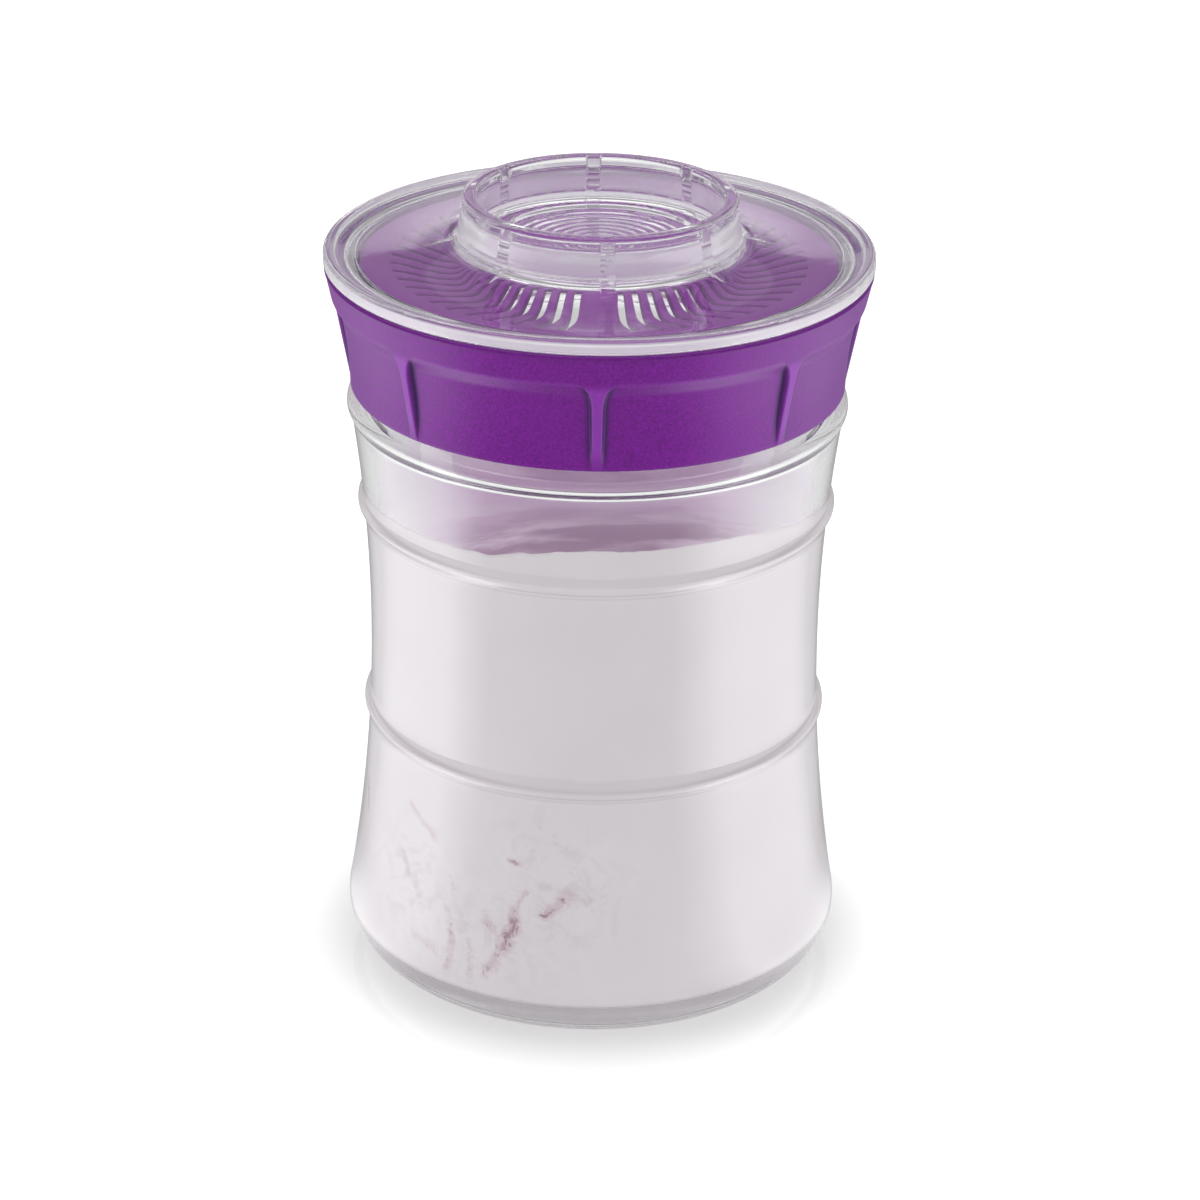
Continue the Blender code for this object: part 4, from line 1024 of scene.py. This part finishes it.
def make_clear_cover(coat):
    """The clear cover: rim, threaded skirt, dish, and a cup with eight fins round it."""
    panel_top = CUP_TOP_Z - CUP_LIP_H
    panel_foot = panel_top - CUP_PANEL_H
    recess_r = CUP_R - CUP_PANEL_IN
    floor_z = CUP_FLOOR_Z - CUP_FLOOR_STEP
    cup = []
    for r in levels(0, CUP_FLOOR_R, 0.35 * MM):
        ripple = RIPPLE_OUT * math.cos(math.tau * r / RIPPLE_W) * eased(r / (3 * MM))
        cup.append((r, floor_z + ripple * (1 - eased((r - 17 * MM) / (4 * MM)))))
    cup += arc(CUP_FLOOR_R + CUP_EASE, floor_z + CUP_EASE, CUP_EASE, 180, 90, 2)[1:]
    cup += arc(CUP_IN_R - CUP_FILLET, CUP_FLOOR_Z + CUP_FILLET, CUP_FILLET, -90, 0, 8)
    lip_z = CUP_TOP_Z - CUP_LIP_EASE
    cup += [(CUP_IN_R, z) for z in levels(CUP_FLOOR_Z + CUP_FILLET, lip_z, PLAIN_ROW)[1:-1]]
    cup += arc(CUP_IN_R + CUP_LIP_EASE, lip_z, CUP_LIP_EASE, 180, 90, 5)
    cup += arc(CUP_R - CUP_LIP_EASE, lip_z, CUP_LIP_EASE, 90, 0, 5)

    outer = arc(CUP_R - CUP_EASE, panel_top + CUP_EASE, CUP_EASE, 0, -90, 3)
    outer += arc(recess_r + CUP_EASE, panel_top - CUP_EASE, CUP_EASE, 90, 180, 3)
    recess = levels(panel_top - CUP_EASE, panel_foot + CUP_EASE, FINE_ROW)[1:-1]
    outer += [(recess_r, z) for z in recess]
    outer += arc(recess_r + CUP_EASE, panel_foot + CUP_EASE, CUP_EASE, 180, 270, 3)
    wall_top_r = cup_wall_radius(panel_foot)
    outer += arc(wall_top_r - CUP_EASE, panel_foot - CUP_EASE, CUP_EASE, 90, 0, 3)
    foot_top_z = CUP_FOOT_Z + CUP_FLARE_H
    walls = levels(panel_foot - CUP_EASE, foot_top_z, FINE_ROW)[1:-1]
    outer += [(cup_wall_radius(z), z) for z in walls]
    foot_r = cup_wall_radius(foot_top_z)
    flare_w = CUP_FOOT_R - foot_r
    dish_at_foot = dish_line(CUP_FOOT_R)
    flare_h = foot_top_z - dish_at_foot
    for step in range(7):
        turn = math.radians(90 * step / 6)
        outer.append((foot_r + flare_w * (1 - math.cos(turn)), foot_top_z - flare_h * math.sin(turn)))
    toe_r = CUP_FOOT_R + FIN_OUT
    outer += [(r, dish_line(r)) for r in levels(CUP_FOOT_R, toe_r + 0.4 * MM, FINE_ROW)[1:]]
    dish = [(r, dish_line(r)) for r in levels(toe_r + 0.4 * MM, DISH_R, PLAIN_ROW)[1:]]

    edge_r = COVER_RIM_R - COVER_RIM_ROUND
    rim = slope(DISH_R, DISH_Z, COVER_RIM_SLOPE_W, DISH_DROP, 6)
    rim += arc(edge_r, COVER_RIM_TOP_Z - COVER_RIM_ROUND, COVER_RIM_ROUND, 90, 0, 8)
    rim += arc(edge_r, COVER_RIM_Z + COVER_RIM_ROUND, COVER_RIM_ROUND, 0, -90, 8)
    skirt = [(r, COVER_RIM_Z) for r in levels(edge_r, SKIRT_R, MM)[1:]]
    skirt += [(SKIRT_R, z) for z in levels(COVER_RIM_Z, SKIRT_Z, FINE_ROW / 2)[1:-1]]
    skirt += arc(SKIRT_R - CUP_EASE, SKIRT_Z + CUP_EASE, CUP_EASE, 0, -90, 3)[1:]
    skirt += arc(SKIRT_IN_R + CUP_EASE, SKIRT_Z + CUP_EASE, CUP_EASE, -90, -180, 3)
    under_z = DISH_Z - DISH_T
    under = arc(SKIRT_IN_R - SKIRT_FILLET, under_z - SKIRT_FILLET, SKIRT_FILLET, 0, 90, 4)
    under_r = SKIRT_IN_R - SKIRT_FILLET
    under += [(r, dish_line(r) - DISH_T) for r in levels(under_r, CUP_FOOT_R, PLAIN_ROW)[1:]]
    under_in_r = CUP_IN_R - CUP_UNDER_IN
    under_low = CUP_FLOOR_Z - CUP_FLOOR_T
    under_from = dish_line(CUP_FOOT_R) - DISH_T
    under += slope(CUP_FOOT_R, under_from, under_in_r - CUP_FOOT_R, under_low - under_from, 6)
    under += [(r, under_low) for r in levels(under_in_r, 0, 3 * MM)[1:]]
    profile = cup + outer + dish + rim + skirt + under

    down = [0.0]
    for (r0, z0), (r1, z1) in zip(outer, outer[1:]):
        down.append(down[-1] + math.hypot(r1 - r0, z1 - z0))
    fin_rows = {row_key(*place): length / down[-1] for place, length in zip(outer, down)}
    sector = math.tau / CUP_FINS
    bm = spun(profile, CUP_FINS * 2 * (CREST_STEPS + SIDE_STEPS + REST_STEPS), closed=False)
    frost = bm.verts.layers.float.new("frost")
    for vert in bm.verts:
        radius, angle, z = polar(vert.co)
        vert[frost] = RIM_SIDE_FROST * eased((radius - COVER_RIM_R) / (0.25 * MM) + 1)
        if DISH_R + COVER_RIM_SLOPE_W / 2 < radius and z > COVER_RIM_Z + COVER_RIM_H / 2:
            vert[frost] = max(vert[frost], RIM_TOP_FROST)
        if abs(radius - CUP_R) < 1.4 * MM and CUP_FOOT_Z < z < panel_foot:
            vert[frost] = CUP_WALL_FROST
        elif abs(radius - CUP_IN_R) < 0.1 * MM and z < panel_foot:
            vert[frost] = CUP_INSIDE_FROST
        half = FIN_W / 2 - FIN_SIDE_W / 2
        place, past = crowded(angle, sector, half, FIN_SIDE_W, max(radius, CUP_R / 2))
        share = fin_rows.get(row_key(radius, z))
        place += COVER_TURN
        if share is not None and z > dish_line(toe_r) - 0.5 * MM:
            rise = 1 - eased(past / FIN_SIDE_W)
            crest_r, crest_z = fin_crest(share)
            radius += (crest_r - radius) * rise
            z += (crest_z - z) * rise
            vert[frost] = max(vert[frost], FIN_FROST * rise * (1 - share))
        elif abs(radius - SKIRT_R) < 0.01 * MM:
            low_z = SKIRT_Z + COVER_THREAD_RISE
            lift = thread_lift(place, z, COVER_THREAD, 0, COVER_THREAD_SWEEP, low_z)
            radius += COVER_THREAD_OUT * lift
        vert.co = around(radius, place, z)
    return piece("cover_clear", bm, "cover", "clear_cover", coat)


# Studio. A row of four values maps the first two, clamped, to the last two.


FLOOR_R = 6.0
FLOOR_WHITE = 0.35
FLOOR_GLOW = 0.41  # how bright the lit floor is by itself, as a light table is
FLOOR_PAINTED_SHADOW = (48 * MM, 67 * MM, 0.0, 0.3)  # painted shadow round the jar: the table glows brighter away from it
FLOOR_FAR = (85 * MM, 120 * MM, 0.0, 0.24)
FLOOR_THROUGH = 0.05  # how much darker it looks through the clear pieces
PAINTED_SCREEN_GLOW = 2.55  # painted reflection: to gloss alone the table glows with bright side screens, beside the jar
SIDE_FROM = (math.radians(49), math.radians(71), 0, 1)
SIDE_TO = (math.radians(72), math.radians(126), 1, 0)
RIGHT_LEADS = math.radians(13)  # the right screen reaches further to the front
BACK_DARK = (math.radians(108), math.radians(150), 0, 0.95)  # and less light behind it
NEAR_TURN = (90 * MM, 170 * MM, math.radians(14), 0)  # near the jar they end further forward
HEEL_DARK = (58 * MM, 66 * MM, 0.5, 0)  # and a thin dark line close behind the foot, painted shade that the heel mirrors
HEEL_FROM = (math.radians(100), math.radians(112), 0, 1)
SCREEN_FADE = (52 * MM, 72 * MM, 0, 1)  # close to the foot the screens aren't seen
CARD_TOP = math.sin(math.radians(19.2))  # a white card stands behind the jar up to this elevation
CARD_SIDE = math.sin(math.radians(9))
DIM_TOP = math.sin(math.radians(25))  # beside and above it the wall is dim, then half lit, then dark
HALF_LIT_TOP = math.sin(math.radians(37))
WALL_TOP = math.sin(math.radians(50))
CARD_TOP_FADE = (CARD_TOP - 0.004, CARD_TOP + 0.005, 0, 1)
CARD_SIDE_FADE = (CARD_SIDE - 0.015, CARD_SIDE + 0.02, 0, 1)
CARD_LIGHT = 1.0
DIM_LIGHT = (DIM_TOP - 0.01, DIM_TOP + 0.01, 0.3, 0.55)
SHINE_BANDS = (  # between these heights gloss comes to see this much light, with soft ends or not
    (HALF_LIT_TOP - 0.02, HALF_LIT_TOP + 0.02, 0.16, False),
    (WALL_TOP, WALL_TOP + 0.1, 0.8, False),
    (0.78, 0.88, 3.5, True),
    (0.9, 0.95, 1.2, True),
)
SHINE_FRONT = (-0.6, 0.0, 0.55, 1.0)  # less light from the front
SHINE_THROUGH = (0, 1, 1, 0.75)  # and for gloss seen through a clear piece
PLAIN_FRONT = (-0.9, 0.0, 0.79, 0.84)  # the light that plain surfaces get from the front and back
PLAIN_BACK = (0.0, 0.9, 1.0, 0.75)
CLEAR_SIDE = (0.35, 0.8, 1.0, 0.7)  # what is seen through clear pieces: beside, at mid height, above
CLEAR_FROM = (0.22, 0.34, 0, 1)
CLEAR_TO = (0.6, 0.7, 1, 0)
CLEAR_MIDDLE = (0, 1, 1.0, 0.3)
CLEAR_TOP = (0.72, 0.84, 0, 1)
CLEAR_TOP_LIGHT = 1.35
BOX_AT = (0.87, -0.15, 0.35)  # an upright soft box on either side, turned to the jar's middle
BOX_AIM = (0, 0, 0.09)
BOX_SIZE = (0.3, 0.8)
CAMERA_AT = (0.0, -0.71776, 0.40787)  # as fitted to the photograph's ellipses
CAMERA_PITCH = math.radians(24.534)
CAMERA_YAW = math.radians(0.089)
CAMERA_ROLL = math.radians(0.808)
CAMERA_LENS = 108.96


def make_floor():
    """A wide glossy white light table, clear from below, with a painted shadow round the jar and
    glowing side screens that only gloss sees.
    """
    values = {"Roughness": 0.05, "IOR": 2.8, "Emission Color": (1, 1, 1, 1)}
    made, tree, shader = new_material("floor_white", values)
    greys = [(FLOOR_WHITE + more,) * 3 for more in (0, 0.02)]
    tree.links.new(blended(tree, noise_of(tree, 6, 2), *greys), shader.inputs["Base Color"])
    length = add(tree, "ShaderNodeVectorMath", operation="LENGTH")
    tree.links.new(place_of(tree), length.inputs[0])
    reach = length.outputs["Value"]
    shadow_lift, far = [remap(tree, reach, *steps, smooth=True) for steps in (FLOOR_PAINTED_SHADOW, FLOOR_FAR)]
    paths = add(tree, "ShaderNodeLightPath").outputs
    through = maths(tree, "MINIMUM", paths["Transmission Depth"], 1)
    unbent = maths(tree, "SUBTRACT", 1, paths["Is Transmission Ray"])
    mirror = maths(tree, "MULTIPLY", paths["Is Glossy Ray"], unbent)
    seen = maths(tree, "MAXIMUM", paths["Is Camera Ray"], mirror)
    glow = maths(tree, "MULTIPLY", seen, maths(tree, "ADD", shadow_lift, far))

    # Painted reflection: side screens that glow on the table for gloss only, darker behind them and
    # just behind the foot
    x, y = parts_of(tree, place_of(tree))[:2]
    wide = maths(tree, "ABSOLUTE", x, 0)
    turn = maths(tree, "ARCTAN2", wide, maths(tree, "MULTIPLY", y, -1))
    right = maths(tree, "GREATER_THAN", x, 0)
    ahead = maths(tree, "ADD", turn, maths(tree, "MULTIPLY", right, RIGHT_LEADS))
    behind = maths(tree, "ADD", turn, remap(tree, reach, *NEAR_TURN))
    screens = maths(tree, "MULTIPLY", remap(tree, ahead, *SIDE_FROM), remap(tree, behind, *SIDE_TO))
    screens = maths(tree, "MULTIPLY", screens, PAINTED_SCREEN_GLOW)
    screens = maths(tree, "MULTIPLY", screens, remap(tree, reach, *SCREEN_FADE))
    heel = maths(tree, "MULTIPLY", remap(tree, reach, *HEEL_DARK), remap(tree, behind, *HEEL_FROM))
    dark = maths(tree, "ADD", heel, remap(tree, behind, *BACK_DARK))
    screens = maths(tree, "MULTIPLY", maths(tree, "SUBTRACT", screens, dark), mirror)
    glow = maths(tree, "ADD", maths(tree, "ADD", glow, FLOOR_GLOW), screens)
    glow = maths(tree, "SUBTRACT", glow, maths(tree, "MULTIPLY", through, FLOOR_THROUGH))
    tree.links.new(maths(tree, "MAXIMUM", glow, 0), shader.inputs["Emission Strength"])
    under = add(tree, "ShaderNodeNewGeometry").outputs["Backfacing"]
    clear_where(tree, shader, under, (1, 1, 1))
    bm = bmesh.new()
    bmesh.ops.create_circle(bm, cap_ends=True, segments=64, radius=FLOOR_R)
    mesh = bpy.data.meshes.new("floor")
    bm.to_mesh(mesh)
    bm.free()
    mesh.materials.append(made)
    floor = bpy.data.objects.new("floor", mesh)
    floor.location = (0, 0, -0.05 * MM)
    bpy.context.scene.collection.objects.link(floor)


def make_world():
    """A white studio: even light for plain surfaces, a bright low band and ceiling for gloss."""
    world = bpy.data.worlds.new("studio")
    bpy.context.scene.world = world
    world.use_nodes = True
    tree = world.node_tree
    back = tree.nodes["Background"]
    x, y, z = parts_of(tree, add(tree, "ShaderNodeTexCoord").outputs["Generated"])

    front = remap(tree, y, *PLAIN_FRONT, smooth=True)
    plain = maths(tree, "MULTIPLY", front, remap(tree, y, *PLAIN_BACK, smooth=True))

    wide = maths(tree, "ABSOLUTE", x, 0)
    clear = remap(tree, wide, *CLEAR_SIDE, smooth=True)
    over = maths(tree, "MULTIPLY", remap(tree, z, *CLEAR_FROM), remap(tree, z, *CLEAR_TO))
    clear = maths(tree, "MULTIPLY", clear, remap(tree, over, *CLEAR_MIDDLE))
    clear = picked(tree, remap(tree, z, *CLEAR_TOP), clear, CLEAR_TOP_LIGHT)

    beside = remap(tree, wide, *CARD_SIDE_FADE)
    off_card = maths(tree, "MAXIMUM", remap(tree, z, *CARD_TOP_FADE), beside)
    shine = picked(tree, off_card, CARD_LIGHT, remap(tree, z, *DIM_LIGHT, smooth=True))
    for low, high, light, smooth in SHINE_BANDS:
        shine = picked(tree, remap(tree, z, low, high, 0, 1, smooth=smooth), shine, light)
    shine = maths(tree, "MULTIPLY", shine, remap(tree, y, *SHINE_FRONT, smooth=True))
    paths = add(tree, "ShaderNodeLightPath").outputs
    through = maths(tree, "MINIMUM", paths["Transmission Depth"], 1)
    shine = maths(tree, "MULTIPLY", shine, remap(tree, through, *SHINE_THROUGH))
    seen = picked(tree, paths["Is Glossy Ray"], plain, shine)
    seen = picked(tree, paths["Is Transmission Ray"], seen, clear)
    seen = picked(tree, paths["Is Camera Ray"], seen, 1.0)
    tree.links.new(seen, back.inputs["Strength"])
    back.inputs["Color"].default_value = (1, 1, 1, 1)


def make_lamp(name, place, aim, size, watts):
    """One soft box that looks at a place."""
    data = bpy.data.lights.new(name, "AREA")
    data.shape = "RECTANGLE"
    data.size, data.size_y = size
    data.energy = watts
    lamp = bpy.data.objects.new(name, data)
    look = Vector(aim) - Vector(place)
    lamp.matrix_world = Matrix.Translation(place) @ look.to_track_quat("-Z", "Y").to_matrix().to_4x4()
    lamp.visible_camera = False
    lamp.visible_glossy = False
    bpy.context.scene.collection.objects.link(lamp)


def make_camera():
    """The camera, as fitted to the photograph's ellipses."""
    level_x = math.sin(CAMERA_YAW) * math.cos(CAMERA_PITCH)
    level_y = math.cos(CAMERA_YAW) * math.cos(CAMERA_PITCH)
    forward = Vector((level_x, level_y, -math.sin(CAMERA_PITCH)))
    level = Vector((math.cos(CAMERA_YAW), -math.sin(CAMERA_YAW), 0))
    upward = level.cross(forward)
    right = level * math.cos(CAMERA_ROLL) + upward * math.sin(CAMERA_ROLL)
    top = upward * math.cos(CAMERA_ROLL) - level * math.sin(CAMERA_ROLL)
    data = bpy.data.cameras.new("camera")
    data.lens = CAMERA_LENS
    data.sensor_width = 36
    data.clip_start = 0.01
    camera = bpy.data.objects.new("camera", data)
    turn = Matrix((right, top, -forward)).transposed().to_4x4()
    camera.matrix_world = Matrix.Translation(CAMERA_AT) @ turn
    bpy.context.scene.collection.objects.link(camera)
    bpy.context.scene.camera = camera


def make_studio():
    """Floor, world, lamps, camera and plain colours."""
    scene = bpy.context.scene
    scene.view_settings.view_transform = "Standard"
    scene.cycles.max_bounces = 64
    scene.cycles.glossy_bounces = 64
    scene.cycles.transmission_bounces = 64
    scene.cycles.transparent_max_bounces = 24
    make_floor()
    make_world()
    for name, side, watts in (("left_box", -1, 1.4), ("right_box", 1, 1.0)):
        make_lamp(name, (side * BOX_AT[0], *BOX_AT[1:]), BOX_AIM, BOX_SIZE, watts)
    make_camera()


def main():
    """Builds every piece and the studio."""
    silicone = make_white_silicone()
    make_glass_jar(make_clear_glass())
    make_kefir(make_kefir_white())
    make_seal("lid_gasket_soft", "gasket", "lid_gasket", GASKET_LOW, GASKET_HIGH, GASKET_W, silicone)
    make_lid_ring(make_purple_satin())
    make_strainer(make_purple_gloss())
    make_seal("cover_seal_soft", "seal", "cover_seal", SEAL_LOW, SEAL_HIGH, SKIRT_T, silicone)
    make_clear_cover(make_clear_plastic())
    make_studio()


main()
